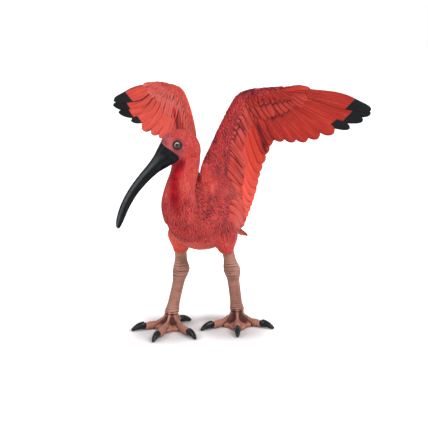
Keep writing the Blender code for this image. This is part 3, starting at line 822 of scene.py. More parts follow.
COATS = {"body_feathers": (0, 3, 4), "neck_feathers": (1, 2), "left_arm_feathers": (5,), "right_arm_feathers": (6,)}
COAT_MOST = 6600  # feathers in one mesh
ARM_END = 0.9  # where the strokes end on the arm of a wing
seed_sizes = sizes[seeds] * rng.uniform(0.85, 1.2, len(seeds))
spines = [spine_of(seed, size) for seed, size in zip(seeds, seed_sizes)]
spine_points = np.array([[tuple(p) for p in points] for points, normals, unwrap in spines])
spine_normals = np.array([[tuple(n) for n in normals] for points, normals, unwrap in spines])
spine_unwraps = np.array([unwrap for points, normals, unwrap in spines])
tile_of = (spine_unwraps[:, 0] * 3).astype(int) + 3 * (spine_unwraps[:, 1] * 3).astype(int)
past_arm = (tile_of >= 5) & ((spine_unwraps[:, 1] * 3) % 1.0 > ARM_END)
tile_of[past_arm] = -1
print("spines laid")

# %% Small feathers in one mesh for each region
STROKE_WIDTHS = [(w, 0) for w in (0.45, 1.0, 0.85, 0.2)]
STROKE_HEIGHTS = [(h, 0) for h in (-0.15, 0.02, 0.10, 0.08)]
STROKE_CROWN, STROKE_KEEL = 0.16, 0.26
BAKE_PATCH = 0.003


def relief_at(points):
    """The strokes are shallow on the head, the upper neck and the arm of the right wing."""
    x, y, z = points.T
    bare = paint_map(points)[3]
    head = fade(z, 68.0, 72.0) * fade(-y, 8.0, 11.0)
    neck = fade(z, 56.0, 61.0) * fade(-y, 8.0, 11.0)
    right_arm = fade(-x, 2.0, 5.0) * fade(z, 62.0, 70.0) * fade(y, -12.0, -8.0)
    return (1.0 - 0.35 * neck - 0.55 * head * neck - 0.3 * right_arm) * (1 - 0.8 * bare)


def coat(name, members):
    """The small feathers of one region: thin tongues that follow their spines."""
    points, normals, size = spine_points[members], spine_normals[members], seed_sizes[members]
    relief = size * relief_at(points[:, 0])
    ways = unit(np.gradient(points, axis=1))
    sides_out = np.cross(normals, ways)

    def place(t, angle, index):
        ring = np.rint(t * (STROKE_RINGS - 1)).astype(int)
        share = along(STROKE_WIDTHS, t)[..., 0]
        wide = np.cos(angle) * share * size[index] / 2
        crown = np.where(np.sin(angle) > 0, STROKE_CROWN, STROKE_KEEL) * np.sin(angle) * share
        rise = relief[index] * (along(STROKE_HEIGHTS, t)[..., 0] + crown)
        return points[index, ring] + sides_out[index, ring] * wide[..., None] + normals[index, ring] * rise[..., None]

    tones = rng.random(len(members))
    item = tubes(
        name, 4, STROKE_RINGS, len(members), place,
        run=lambda t, angle, index: t,
        across=lambda t, angle, index: np.cos(angle),
        tone=lambda t, angle, index: tones[index])
    put_paint(item.data, from_scene(corners(item.data)))
    per_feather = len(item.data.vertices) // len(members)
    of_corner = np.empty(len(item.data.loops), np.int32)
    item.data.loops.foreach_get("vertex_index", of_corner)
    marks = item.data.attributes
    run, across = (np.empty(len(item.data.vertices), np.float32) for k in range(2))
    marks["run"].data.foreach_get("value", run)
    marks["across"].data.foreach_get("value", across)
    patch = np.stack((across * 0.5, run), axis=-1) * BAKE_PATCH
    flat = spine_unwraps[members][np.arange(len(run)) // per_feather] + patch
    unwrap = item.data.uv_layers.new(name="OFBake")
    unwrap.data.foreach_set("uv", flat[of_corner].astype(np.float32).ravel())
    report(item)
    return item


coats = []
for name, tiles in COATS.items():
    members = np.flatnonzero(np.isin(tile_of, tiles))
    parts = np.array_split(members, -(-len(members) // COAT_MOST))
    for number, part in enumerate(parts):
        coats.append(coat(name if len(parts) == 1 else f"{name}_{number + 1}", part))

# %% [markdown]
# ## Flight feathers and coverts
# A wing feather is a flat blade with a rounded tip and a soft ridge, and each lies a little
# over the next, like tiles. It is laid on the curved sheet of the wing, so its root and tip
# are given there, as shares of the span and of the chord. The long ones form the rim, and two
# rows of shorter coverts lie on both faces over their roots.

# %% Rows of a wing
RINGS_OF_VANE, SIDES_OF_VANE = 22, 12
INNER_ROOTS = ((0.22, 0.38), (0.36, 0.36), (0.46, 0.36), (0.49, 0.34), (0.50, 0.32), (0.53, 0.30))
INNER_BOWS = (-0.05, -0.10, -0.11, -0.06, -0.01, 0.0)
INNER_TIPS = (
    (0.010, 0.965), (0.05, 0.99), (0.115, 1.0), (0.18, 1.005), (0.25, 1.005), (0.32, 1.005), (0.385, 1.005),
    (0.445, 1.0), (0.497, 0.985))
OUTER_ROOTS = ((0.545, 0.28), (0.62, 0.26), (0.69, 0.20), (0.76, 0.12))
OUTER_TIPS = {
    "left": ((0.535, 1.045), (0.60, 1.01), (0.663, 1.01), (0.731, 0.99), (0.805, 0.955), (0.873, 0.95),
             (0.944, 0.885), (0.988, 0.70), (0.998, 0.30)),
    "right": ((0.54, 1.03), (0.59, 1.03), (0.65, 1.05), (0.72, 1.04), (0.795, 1.035), (0.872, 1.0), (0.950, 1.0),
              (0.992, 0.83), (0.998, 0.36)),
}
BLACK_LENGTHS = {  # millimetres of black on the outermost feathers, from the sixth to the ninth
    "left": (0, 0, 0, 0, 0, 8.0, 8.6, 9.2, 9.2),
    "right": (0, 0, 0, 0, 0, 5.2, 6.6, 8.2, 8.2),
}
INNER_COVERT_ROOTS = ((0.025, 0.24), (0.18, 0.20), (0.34, 0.18), (0.50, 0.14))
INNER_COVERT_TIPS = (
    (0.015, 0.92), (0.088, 0.80), (0.156, 0.75), (0.225, 0.70), (0.294, 0.64), (0.363, 0.59), (0.425, 0.54),
    (0.485, 0.49))
HAND_ROOTS = ((0.51, 0.18), (0.60, 0.16), (0.67, 0.12), (0.725, 0.05))
HAND_TIPS = {
    "left": ((0.51, 0.55), (0.55, 0.57), (0.60, 0.53), (0.65, 0.46), (0.695, 0.41), (0.73, 0.35), (0.765, 0.30)),
    "right": ((0.515, 0.64), (0.56, 0.61), (0.61, 0.54), (0.66, 0.46), (0.71, 0.38), (0.75, 0.29), (0.775, 0.18)),
}
WRIST_ROOTS = ((0.51, 0.14), (0.60, 0.12), (0.66, 0.08), (0.725, 0.03))
WRIST_TIPS = ((0.515, 0.31), (0.56, 0.28), (0.61, 0.25), (0.66, 0.23), (0.70, 0.20), (0.74, 0.13), (0.79, 0.055))
SHINGLE = 0.32
FLAT_FACE = 0.45  # the face of a blade stays flat almost to its rim
TO_UNDERSIDE, TO_TOP = 1, -1
# In each row dark goes from the first feather to the last: above 0 it is painted shade, below 0 painted light. The left
# wing is mostly shaded and the right wing lit, and the inner flight feathers go from lit at the body to shaded at the
# elbow.
ROWS = [
    dict(count=15, roots=INNER_ROOTS, tips=INNER_TIPS, bow=INNER_BOWS, width=5.0, lift=0.0, thick=0.75, point=0.6,
         dark=(-0.8, -0.8, -0.7, -0.4, 0.1, 0.6), line=0.95),
    dict(count=9, roots=OUTER_ROOTS, tips=OUTER_TIPS, bow=dict(left=(0.0, 0.0), right=(-0.03, -0.03)), width=6.3,
         lift=0.0, thick=0.75, point=0.55, dark=dict(left=(0.75, 0.6, 0.55, 0.6), right=(-0.9, -0.4)),
         line=dict(left=0.25, right=1.0), shingle=dict(left=0.2, right=0.3)),
]
for face in (TO_UNDERSIDE, TO_TOP):
    ROWS += [
        dict(count=26, roots=INNER_COVERT_ROOTS, tips=INNER_COVERT_TIPS, bow=(0.012, 0.012), width=2.9,
             lift=0.55 * face, thick=0.55, point=1.1, dark=dict(left=(0.2, 0.45), right=(-0.8, -0.6)),
             line=dict(left=1.0, right=0.5), stray=0.8, rose=dict(left=0.45, right=0.9)),
        dict(count=dict(left=11, right=22), roots=HAND_ROOTS, tips=HAND_TIPS, bow=(0.0, 0.0),
             width=dict(left=3.3, right=1.9), lift=0.6 * face, thick=0.5, point=0.7,
             dark=dict(left=(0.65, 0.5), right=(-0.7, -0.7)), line=dict(left=0.85, right=0.45), stray=0.6,
             rose=dict(left=0.15, right=1.0), shingle=dict(left=0.32, right=0.18)),
        dict(count=dict(left=19, right=18), roots=WRIST_ROOTS, tips=WRIST_TIPS, bow=(0.0, 0.0),
             width=dict(left=1.8, right=1.7), lift=0.85 * face, thick=0.5, point=0.9,
             dark=dict(left=(0.75, 0.5), right=(-0.2, -0.2)), line=dict(left=0.9, right=0.5), stray=0.8,
             rose=dict(left=0.0, right=1.3), shingle=dict(left=0.32, right=0.18)),
    ]
INK_SLANT = dict(left=-1.3, right=-1.0)  # millimetres by which the black starts earlier at the edge nearer the body
SPAN_LENGTH, CHORD_LENGTH = 85.0, 30.0  # millimetres in one span and one chord
# Slits are painted shade in grooves and gaps between feathers; the mesh has no cut there.
SHADED_SLITS = {  # two ends of each deep groove in span and chord, and its half width in millimetres
    "left": (((0.438, 0.30), (0.36, 0.33), 0.5), ((0.431, 0.31), (0.425, 0.44), 0.4), ((0.10, 0.45), (0.12, 0.80), 0.4),
             ((0.05, 0.60), (0.044, 0.98), 0.5), ((0.312, 0.31), (0.294, 0.60), 0.35), ((0.27, 0.45), (0.255, 0.68), 0.35),
             ((0.54, 0.32), (0.69, 0.25), 0.4), ((0.55, 0.57), (0.66, 0.45), 0.35), ((0.518, 0.30), (0.499, 0.95), 0.28),
             ((0.497, 0.28), (0.458, 0.97), 0.28), ((0.475, 0.48), (0.440, 0.97), 0.22)),
    "right": (((0.535, 0.45), (0.488, 0.82), 1.3),),
}


def slit_shade_depth(span, chord, side_name):
    """1 in the middle of a painted-shade slit of this wing, 0 away from all of them."""
    here = np.stack((span * SPAN_LENGTH, chord * CHORD_LENGTH), axis=-1)
    depth = np.zeros_like(span)
    for first, second, half_width in SHADED_SLITS[side_name]:
        start, end = (np.array(place) * (SPAN_LENGTH, CHORD_LENGTH) for place in (first, second))
        share = np.clip(((here - start) @ (end - start)) / ((end - start) @ (end - start)), 0.0, 1.0)
        away = np.linalg.norm(here - start - share[..., None] * (end - start), axis=-1)
        depth = np.maximum(depth, np.exp(-(away / half_width) ** 2))
    return depth


def feather_shape(t, slimness, point, narrow=0.18):
    """Width of a blade along its length: it swells from the root, narrows again and ends round."""
    swell = (0.55 + 0.45 * fade(t, 0.0, 0.5)) * (1 - narrow * fade(t, 0.55, 1.0))
    end = np.clip((t - 1) * slimness / point + 1, 0.0, 1.0)
    return swell * np.sqrt(np.maximum(1 - end ** 2, 0.004))


def close_to_tip(t):
    """Rings of a blade lie closer together towards its rounded tip."""
    return np.sin(t * math.pi / 2)


def vane_row(row, side_name, side):
    """One row of feathers, every blade the same tube laid along its own line on the wing."""
    row = {key: value[side_name] if isinstance(value, dict) else value for key, value in row.items()}
    count = row["count"]
    share = np.linspace(0.0, 1.0, count)
    root, tip = along(row["roots"], share), along(row["tips"], share)
    tip = tip + rng.normal(0.0, row.get("stray", 0.0), (count, 2)) / (SPAN_LENGTH, CHORD_LENGTH)
    lengths = np.linalg.norm(wing_point(*tip.T, 0.0, side) - wing_point(*root.T, 0.0, side), axis=-1)
    # dark is the row's painted shade; below 0 it is painted light
    bow, dark = (along([(value, 0.0) for value in row[key]], share)[..., 0] for key in ("bow", "dark"))
    black = np.array(BLACK_LENGTHS[side_name]) if row["tips"] is OUTER_TIPS[side_name] else np.zeros(count)

    def on_wing(t, index):
        f = np.clip(t, 0.0, 1.0)
        span, chord = np.moveaxis(root[index] + (tip[index] - root[index]) * f[..., None], -1, 0)
        return span + bow[index] * 4 * f * (1 - f), chord

    def line(t, index, lift):
        return wing_point(*on_wing(t, index), lift * fade(t, -0.3, 0.4), side)

    def place(t, angle, index):
        t = close_to_tip(t)
        centre = line(t, index, row["lift"])
        ahead = unit(line(t + 0.04, index, row["lift"]) - line(t - 0.04, index, row["lift"]))
        up = unit(line(t, index, row["lift"] + 1.0) - centre)
        out = np.cross(ahead, up)
        blade = feather_shape(t, (lengths / row["width"])[index], row["point"], np.where(black > 0, 0.5, 0.18)[index])
        wide = np.cos(angle) * blade * row["width"] / 2
        face = np.sign(np.sin(angle)) * np.abs(np.sin(angle)) ** FLAT_FACE
        rise = np.cos(angle) * side * row.get("shingle", SHINGLE) + face * row["thick"] / 2 * np.sqrt(blade)
        return centre + out * wide[..., None] + up * rise[..., None]

    def ink(t, angle, index):
        from_tip = (1 - close_to_tip(t)) * lengths[index]
        slant = side * INK_SLANT[side_name] * np.cos(angle)
        return np.where(black[index] > 0, black[index] - from_tip - slant, -9.0)

    # the slits are painted shade: dark lines along grooves and gaps that the mesh does not cut
    def slit(t, angle, index):
        t = close_to_tip(t)
        lengthwise = unit((tip - root) * (SPAN_LENGTH, CHORD_LENGTH))[index]
        blade = feather_shape(t, (lengths / row["width"])[index], row["point"])
        wide = side * np.cos(angle) * blade * row["width"] / 2
        span, chord = on_wing(t, index)
        return slit_shade_depth(
            span - wide * lengthwise[..., 1] / SPAN_LENGTH, chord + wide * lengthwise[..., 0] / CHORD_LENGTH, side_name)

    tones = rng.random(count)
    return tubes(
        "row", SIDES_OF_VANE, RINGS_OF_VANE, count, place,
        run=lambda t, angle, index: close_to_tip(t),
        across=lambda t, angle, index: np.cos(angle),
        tone=lambda t, angle, index: tones[index],
        ink=ink, slit=slit,
        rose=lambda t, angle, index: row.get("rose", 0.0) + 0 * t,
        dark=lambda t, angle, index: dark[index],
        line=lambda t, angle, index: row["line"] + 0 * t)


def merged_piece(name, pieces):
    """Join finished meshes into one object; their marks come along."""
    with bpy.context.temp_override(active_object=pieces[0], selected_editable_objects=pieces):
        bpy.ops.object.join()
    pieces[0].name = pieces[0].data.name = name
    report(pieces[0])
    return pieces[0]


wings = {}
for side_name, side in (("left", 1), ("right", -1)):
    rows = [vane_row(row, side_name, side) for row in ROWS]
    wings[side_name] = merged_piece("wing_" + side_name + "_feathers", rows)

# %% [markdown]
# ## Flank feathers
# Where the wing leaves the body, five long feathers sweep back from the shoulder and cover the
# gap. The lower edge of each stands off the next one and throws a dark curved line, and paint
# deepens it: the lower part of each feather is darker with painted shade. They are the same
# blades, laid along curves of three points each.

# %% Flank
FLANK_WIDTH, FLANK_THICKNESS, FLANK_TILT, FLANK_RISE = 4.6, 0.6, 0.55, 0.35
FLANK_CURVES = (  # root, middle and tip of each, on the left side
    ((8.2, -2.0, 59.6), (8.9, 8.0, 55.0), (8.4, 18.0, 47.6)),
    ((9.0, -3.2, 57.0), (9.6, 5.6, 52.6), (8.4, 18.6, 43.6)),
    ((9.8, -3.6, 54.2), (10.6, 4.0, 49.8), (8.6, 18.6, 39.8)),
    ((10.6, -4.0, 51.0), (11.4, 2.8, 46.8), (8.8, 17.0, 37.6)),
    ((10.8, -4.6, 48.2), (11.5, 1.0, 44.4), (9.4, 12.0, 37.6)))
FLANK_OUT = np.array((0.85, -0.4, 0.3))


def flank_place(t, angle, index, side):
    t = close_to_tip(t)
    curves = np.array(FLANK_CURVES)
    centre, before, after = (np.empty((*t.shape, 3)) for k in range(3))
    for number, curve in enumerate(curves):
        here = index == number
        for array, step in ((centre, 0.0), (before, -0.03), (after, 0.03)):
            array[here] = along(curve, t[here] + step)
    ahead = unit(after - before)
    across = unit(np.cross(ahead, FLANK_OUT))
    up = np.cross(across, ahead)
    blade = feather_shape(t, 22.0 / FLANK_WIDTH, 1.2, 0.3)
    wide = np.cos(angle) * blade * FLANK_WIDTH / 2
    face = np.sign(np.sin(angle)) * np.abs(np.sin(angle)) ** FLAT_FACE
    rise = FLANK_RISE * fade(t, 0.0, 0.25) - np.cos(angle) * FLANK_TILT + face * FLANK_THICKNESS / 2 * np.sqrt(blade)
    return (centre + across * wide[..., None] + up * rise[..., None]) * np.array((side, 1, 1))


def lower_shade_share(angle):
    """1 on the lower part of a flank feather, where its painted shade is deepest."""
    return fade(np.cos(angle), 0.0, 0.8)


# The lower part of each flank feather is darker with painted shade, and its lower edge gets a slit of painted shade.
flanks = [
    tubes(
        "flank", SIDES_OF_VANE, RINGS_OF_VANE, len(FLANK_CURVES), lambda t, angle, index: flank_place(t, angle, index, side),
        run=lambda t, angle, index: close_to_tip(t),
        across=lambda t, angle, index: np.cos(angle),
        tone=lambda t, angle, index: (index * 0.37) % 1.0,
        ink=lambda t, angle, index: -9.0 + 0 * t,
        slit=lambda t, angle, index: fade(np.cos(angle), 0.35, 0.9),
        rose=lambda t, angle, index: 0.4 + 0 * t,
        dark=lambda t, angle, index: 0.55 * lower_shade_share(angle),
        line=lambda t, angle, index: 1.0 + 0 * t)
    for side in (1, -1)]
flank = merged_piece("flank_feathers", flanks)

# %% [markdown]
# ## Tail
# The short tail is a fan of seven feathers that lie on one another, the middle one on top.
# It is the same blade again, turned a little further for each feather.

# %% Tail feathers
TAIL_ROOT = np.array((0.0, 17.0, 41.0))
TAIL_LENGTH, TAIL_COUNT = 18.4, 7
TAIL_DROP, TAIL_SPREAD = math.radians(38.0), math.radians(18.0)
TAIL_WIDTH, TAIL_THICKNESS = 5.2, 1.0
TAIL_STEP, TAIL_TILT, TAIL_SHORTENS = 0.35, 0.3, 0.06


def tail_place(t, angle, index):
    t = np.sin(t * math.pi / 2)
    offset = (index - 3) / 3
    turn = offset * TAIL_SPREAD
    ahead = pile((np.sin(turn), np.cos(turn) * math.cos(TAIL_DROP), -np.cos(turn) * math.sin(TAIL_DROP)))
    up = np.array((0, math.sin(TAIL_DROP), math.cos(TAIL_DROP)))
    out = unit(np.cross(ahead, up))
    length = TAIL_LENGTH * (1 - TAIL_SHORTENS * np.abs(offset))
    blade = feather_shape(t, TAIL_LENGTH / TAIL_WIDTH, 0.7)
    wide = np.cos(angle) * blade * TAIL_WIDTH / 2
    tilt = -np.sign(offset) * TAIL_TILT * np.cos(angle) - TAIL_STEP * np.abs(index - 3)
    rise = np.sin(angle) * TAIL_THICKNESS / 2 * np.sqrt(blade) + tilt
    return TAIL_ROOT + ahead * (length * t)[..., None] + out * wide[..., None] + up * rise[..., None]


tail = tubes(
    "tail_feathers", 12, 20, TAIL_COUNT, tail_place,
    run=lambda t, angle, index: np.sin(t * math.pi / 2),
    across=lambda t, angle, index: np.cos(angle),
    tone=lambda t, angle, index: (index * 0.37) % 1.0,
    ink=lambda t, angle, index: -9.0 + 0 * t,
    slit=lambda t, angle, index: 0 * t,
    rose=lambda t, angle, index: 0 * t,
    dark=lambda t, angle, index: 0.1 + 0 * t,
    line=lambda t, angle, index: 0.8 + 0 * t)
report(tail)

# %% [markdown]
# ## Bill
# The bill is one long curved horn, painted satin black. It is wide where it clasps the face and
# has a groove along each side, below the ridge. A tube along its middle line gives the curve,
# and the groove is a dip in the tube's side that dies away towards the tip.

# %% Bill
BILL_SECTIONS = (
    (3.4, -0.9, 8.8, 7.4), (5.8, -2.6, 8.3, 6.6), (8.3, -4.5, 6.8, 5.3), (11.2, -6.8, 5.1, 4.1),
    (15.3, -10.4, 4.3, 3.4), (19.5, -14.9, 3.8, 3.1), (22.8, -20.0, 3.5, 2.9), (24.9, -25.0, 2.8, 2.5),
    (25.8, -28.1, 1.3, 1.3))
GROOVE_DEPTH, GROOVE_HEIGHT, GROOVE_WIDTH = 0.16, 0.12, 0.2


def bill_groove(t, angle):
    """1 in the middle of the groove, 0 away from it."""
    return np.exp(-((np.sin(angle) - GROOVE_HEIGHT) / GROOVE_WIDTH) ** 2) * (1 - fade(t, 0.72, 0.9)) * fade(t, 0.1, 0.25)


def horn_place(t, angle):
    ahead, level, height, width = np.moveaxis(along(BILL_SECTIONS, t), -1, 0)
    slope_rows = along(BILL_SECTIONS, t + 0.02) - along(BILL_SECTIONS, t - 0.02)
    slope = np.arctan2(slope_rows[..., 1], slope_rows[..., 0])
    round_end = np.sqrt(np.maximum(1 - np.clip((t - 0.96) / 0.04, 0, 1) ** 2, 0.05))
    over = np.sin(angle) * height / 2 * round_end
    across = np.cos(angle) * width / 2 * (1 - GROOVE_DEPTH * bill_groove(t, angle)) * round_end
    return head_place(ahead - np.sin(slope) * over, across, level + np.cos(slope) * over)


CLASP = 0.26  # the share of the bill's length that clasps the face
CLASP_EDGE = (  # its edge on the face from top to bottom: ahead, sideways and up from the head's middle
    (7.8, 0.0, 2.5), (7.5, 2.3, 1.5), (6.1, 3.7, 0.5), (4.8, 4.3, -0.6), (3.3, 4.6, -1.8), (2.6, 4.5, -2.8),
    (2.7, 4.0, -3.8), (3.2, 2.2, -5.1), (3.5, 0.0, -5.7))
CLASP_RISE, CLASP_SUNK = 0.22, -0.25
HIGHLIGHT_HEIGHT = 0.72  # the shoulder of the ridge, where a painted grey highlight lies on the black


def bill_place(t, angle):
    """The horn, whose first part runs back over the cheeks and lies just above their skin."""
    down = 0.5 - np.arcsin(np.sin(angle)) / math.pi
    ahead, out, up = np.moveaxis(along(CLASP_EDGE, down), -1, 0)
    edge = head_place(ahead, out * np.sign(np.cos(angle)), up)
    share = np.clip(t / CLASP, 0.0, 1.0)
    points = edge + (horn_place(np.maximum(t, CLASP), angle) - edge) * share[..., None]
    rises = CLASP_SUNK + (CLASP_RISE - CLASP_SUNK) * fade(share, 0.0, 0.08)
    flat = points.reshape(-1, 3)
    for corner, (point, rise) in enumerate(zip(flat, rises.ravel())):
        place, normal, face, away = skin_tree.find_nearest(point)
        above = (Vector(point) - place) @ normal
        if share.ravel()[corner] < 1 and above < rise or share.ravel()[corner] < 0.04:
            flat[corner] = place + normal * rise
    return flat.reshape(points.shape)


bill = tube(
    "bill", 48, 90, bill_place,
    groove=lambda t, angle, index: bill_groove(t, angle),
    worn=lambda t, angle, index: np.exp(-((np.sin(angle) - HIGHLIGHT_HEIGHT) / 0.2) ** 2) * fade(t, 0.12, 0.4))
report(bill)

# %% [markdown]
# ## Eyes and lids
# Each eye is a small ball set into the face, with a gold ring and a black pupil painted on
# and a thick coat of varnish. A dark lid stands round it, made by spinning a small circle
# about the line of sight.

# %% Eyes
EYE_RADIUS = 1.62
LID_REACH, LID_THICKNESS = 1.42, 0.42
LID_FORWARD = 0.98
eye_shape, lid_shape = bmesh.new(), bmesh.new()
sights = []
for side in (1, -1):
    centre = to_scene(head_place(EYE[0], side * EYE[1], EYE[2]))
    sight = Vector(side * HEAD_LEFT + 0.42 * HEAD_AHEAD + 0.12 * UP).normalized()
    turn = sight.to_track_quat("Z", "Y")
    sights.append((centre, tuple(sight)))
    ball = bmesh.ops.create_uvsphere(eye_shape, u_segments=40, v_segments=32, radius=EYE_RADIUS * MM)["verts"]
    for corner in ball:
        corner.co = turn @ corner.co + Vector(centre)
    profile = [lid_shape.verts.new((
        (LID_REACH + LID_THICKNESS * math.cos(a)) * MM, 0,
        (LID_FORWARD + LID_THICKNESS * math.sin(a)) * MM)) for a in np.linspace(0, 2 * math.pi, 12, endpoint=False)]
    loop = [lid_shape.edges.new((profile[k], profile[(k + 1) % 12])) for k in range(12)]
    spun = bmesh.ops.spin(
        lid_shape, geom=profile + loop, axis=(0, 0, 1), cent=(0, 0, 0), steps=36, angle=2 * math.pi, use_merge=True)
    for corner in [v for v in lid_shape.verts if not v.tag]:
        corner.co = turn @ corner.co + Vector(centre)
        corner.tag = True


def from_shape(name, shape):
    """Close a bmesh into an object with its faces turned out."""
    bmesh.ops.remove_doubles(shape, verts=shape.verts, dist=1e-7)
    bmesh.ops.recalc_face_normals(shape, faces=shape.faces)
    mesh = bpy.data.meshes.new(name)
    shape.to_mesh(mesh)
    shape.free()
    mesh.shade_smooth()
    item = added(name, mesh)
    report(item)
    return item


eyes, lids = from_shape("eyes", eye_shape), from_shape("eyelids", lid_shape)
offsets = corners(eyes.data)[:, None] - np.array([centre for centre, sight in sights])
nearest = np.linalg.norm(offsets, axis=-1).argmin(axis=-1)
every = np.arange(len(nearest))
towards = (unit(offsets[every, nearest]) * np.array([sight for centre, sight in sights])[nearest]).sum(axis=-1)
put_mark(eyes.data, "gaze", np.arccos(np.clip(towards, -1.0, 1.0)))

# %% [markdown]
# ## Legs and feet
# The bare legs are stout, as in a toy that has to stand. Skin folds ring the hock and the
# ankle, scutes run along the toes, and a web of skin joins the toes, with a hollow between
# each pair of tendons. Leg and foot are cast in one piece like the body, but finer.

# %% Leg and toe tubes
SHANK_RADIUS, SHANK_DEPTH = 2.25, 1.08
HOCK_SWELL, HOCK_REACH = 0.9, 3.0
ANKLE_TOP, ANKLE_RADIUS, ANKLE_SPREAD, WEB_REACH = 6.4, 2.6, 0.5, 7.0
GAP_WIDTH, GAP_DEPTH = 14.0, 0.3
RIM_START, RIM_HEIGHT = 0.86, 1.5
TOE_RADIUS, TOE_TAPER, TOE_HEIGHT, TOE_SLOPE = 1.65, 0.15, 1.25, (4.5, 2.5)
CLAW_LENGTH = 5.4
TOES = {
    "right": dict(outer=(-41.0, 17.0, 0.0), middle=(6.0, 20.4, 0.0), inner=(56.0, 19.0, 0.0), hind=(148.0, 9.0, 0.2)),
    "left": dict(inner=(-30.5, 17.4, 0.0), middle=(25.0, 17.2, 0.0), outer=(86.0, 16.4, 0.0), hind=(200.0, 11.0, 0.5)),
}
HOCK_FOLDS = ((3.6, 0.12), (2.7, 0.22), (1.7, 0.16), (0.9, 0.24), (-0.4, 0.16), (-1.3, 0.26), (-2.6, 0.14))
ANKLE_FOLDS = ((0.3, 0.38), (1.1, 0.34), (1.9, 0.22), (2.8, 0.12))
FOLD_SLANT = 0.55
SCUTE_STEP, SCUTE_HEIGHT = 1.25, 0.07
FOLD_WIDTH = 0.34


def folds(height, rings):
    """Soft ridges round a leg: each a height and a size."""
    return sum(size * np.exp(-((height - level) / FOLD_WIDTH) ** 2) for level, size in rings)


def shank_place(t, angle, leg):
    knee, hock = np.array(leg["knee"]) + (0, 0, 2.5), np.array(leg["hock"])
    ankle = np.array((*leg["foot"], ANKLE_TOP - 0.6))
    height = knee[2] + (ankle[2] - knee[2]) * t
    above = np.clip((height - hock[2]) / (knee[2] - hock[2]), 0, 1)[..., None]
    below = np.clip((height - ankle[2]) / (hock[2] - ankle[2]), 0, 1)[..., None]
    centre = np.where((height > hock[2])[..., None], hock + (knee - hock) * above, ankle + (hock - ankle) * below)
    swell = HOCK_SWELL * np.exp(-((height - hock[2]) / HOCK_REACH) ** 2)
    flare = 0.3 * np.exp(-(height - ankle[2]) / 2.0)
    front = 0.75 + 0.25 * np.sin(angle + math.pi)
    slant = FOLD_SLANT * np.sin(angle + 0.8) + 0.25 * np.sin(3 * angle)
    rings = folds(height - hock[2] + slant, HOCK_FOLDS) * front + folds(height - ankle[2], ANKLE_FOLDS)
    tendon = 0.22 * np.exp(-((np.sin(angle) - 0.9) / 0.35) ** 2) * fade(height, 8.0, 13.0)
    scutes = SCUTE_HEIGHT * np.abs(np.sin(math.pi * height / SCUTE_STEP + 0.6 * np.sin(2 * angle)))
    radius = SHANK_RADIUS + swell + flare + rings + tendon + scutes
    return pile((centre[..., 0] + radius * np.cos(angle), centre[..., 1] + SHANK_DEPTH * radius * np.sin(angle), height))


def toe_way(degrees):
    turn = np.radians(degrees)
    return pile((np.sin(turn), -np.cos(turn), 0 * turn))


def toe_place(t, angle, foot, heading, reach, rise):
    """A toe that leaves the ankle steeply and lies along the ground, ringed by scutes."""
    forward = toe_way(heading)
    side = np.array((-forward[1], forward[0], 0.0))
    length = reach - CLAW_LENGTH
    height = TOE_HEIGHT + rise * t + TOE_SLOPE[0] * np.exp(-length * t / TOE_SLOPE[1])
    beads = math.pi * length * t / 0.85 + 0.8 * np.sin(1.7 * length * t) + 0.5 * np.cos(angle)
    scutes = 0.17 * np.abs(np.sin(beads)) * np.maximum(np.sin(angle) + 0.1, 0.0)
    knuckles = 0.13 * np.cos(2 * math.pi * 2.4 * t + 0.8)
    radius = TOE_RADIUS * (1 - TOE_TAPER * t) + knuckles + scutes
    round_end = np.sqrt(np.maximum(1 - np.clip((t - 0.93) / 0.07, 0, 1) ** 2, 0.3))
    centre = np.array((*foot, 0.0)) + forward * (length * t)[..., None] + height[..., None] * UP
    return centre + side * (radius * round_end * np.cos(angle))[..., None] + UP * (
        radius * round_end * np.sin(angle))[..., None]


def web_place(t, angle, foot, fronts):
    """The skin that spreads from the ankle down between the front toes, its rim drawn in there."""
    ahead = toe_way(fronts[1])
    facing = np.maximum(np.cos(angle) * ahead[0] + np.sin(angle) * ahead[1], 0.0)
    heading = np.degrees(np.arctan2(np.cos(angle), -np.sin(angle)))
    gaps = sum(np.exp(-((heading - (first + second) / 2) / GAP_WIDTH) ** 2) for first, second in zip(fronts, fronts[1:]))
    spread = np.minimum(t / RIM_START, 1.0)
    height = np.where(t < RIM_START, ANKLE_TOP + (RIM_HEIGHT - ANKLE_TOP) * spread, RIM_HEIGHT * (1 - t) / (1 - RIM_START))
    radius = ANKLE_RADIUS + (ANKLE_SPREAD + WEB_REACH * facing * (1 - GAP_DEPTH * gaps)) * spread ** 1.9
    return pile((foot[0] + radius * np.cos(angle), foot[1] + radius * np.sin(angle), height))


# %% Casting a leg
LEG_VOXEL = 0.17
HOLLOW_REACH, HOLLOW_WIDTH, HOLLOW_HEIGHT, HOLLOW_DEPTH = 4.6, 18.0, 3.9, 1.1
HOLLOW_SHADE = dict(left=1.6, right=0.8)  # painted shade lies deeper in the left foot's hollows


def hollows(points, side_name, leg):
    """1 in the hollows between the tendons that run from the ankle to the front toes."""
    away = points - np.array((*leg["foot"], 0.0))
    reach = np.hypot(away[..., 0], away[..., 1])
    heading = np.degrees(np.arctan2(away[..., 0], -away[..., 1]))
    fronts = sorted(toe[0] for name, toe in TOES[side_name].items() if name != "hind")
    depth = np.zeros(len(points))
    for first, second in zip(fronts, fronts[1:]):
        turn = np.exp(-((heading - (first + second) / 2) / HOLLOW_WIDTH) ** 2)
        spot = np.exp(-((reach - HOLLOW_REACH) / 2.4) ** 2 - ((points[..., 2] - HOLLOW_HEIGHT) / 2.1) ** 2)
        depth = np.maximum(depth, turn * spot)
    return depth


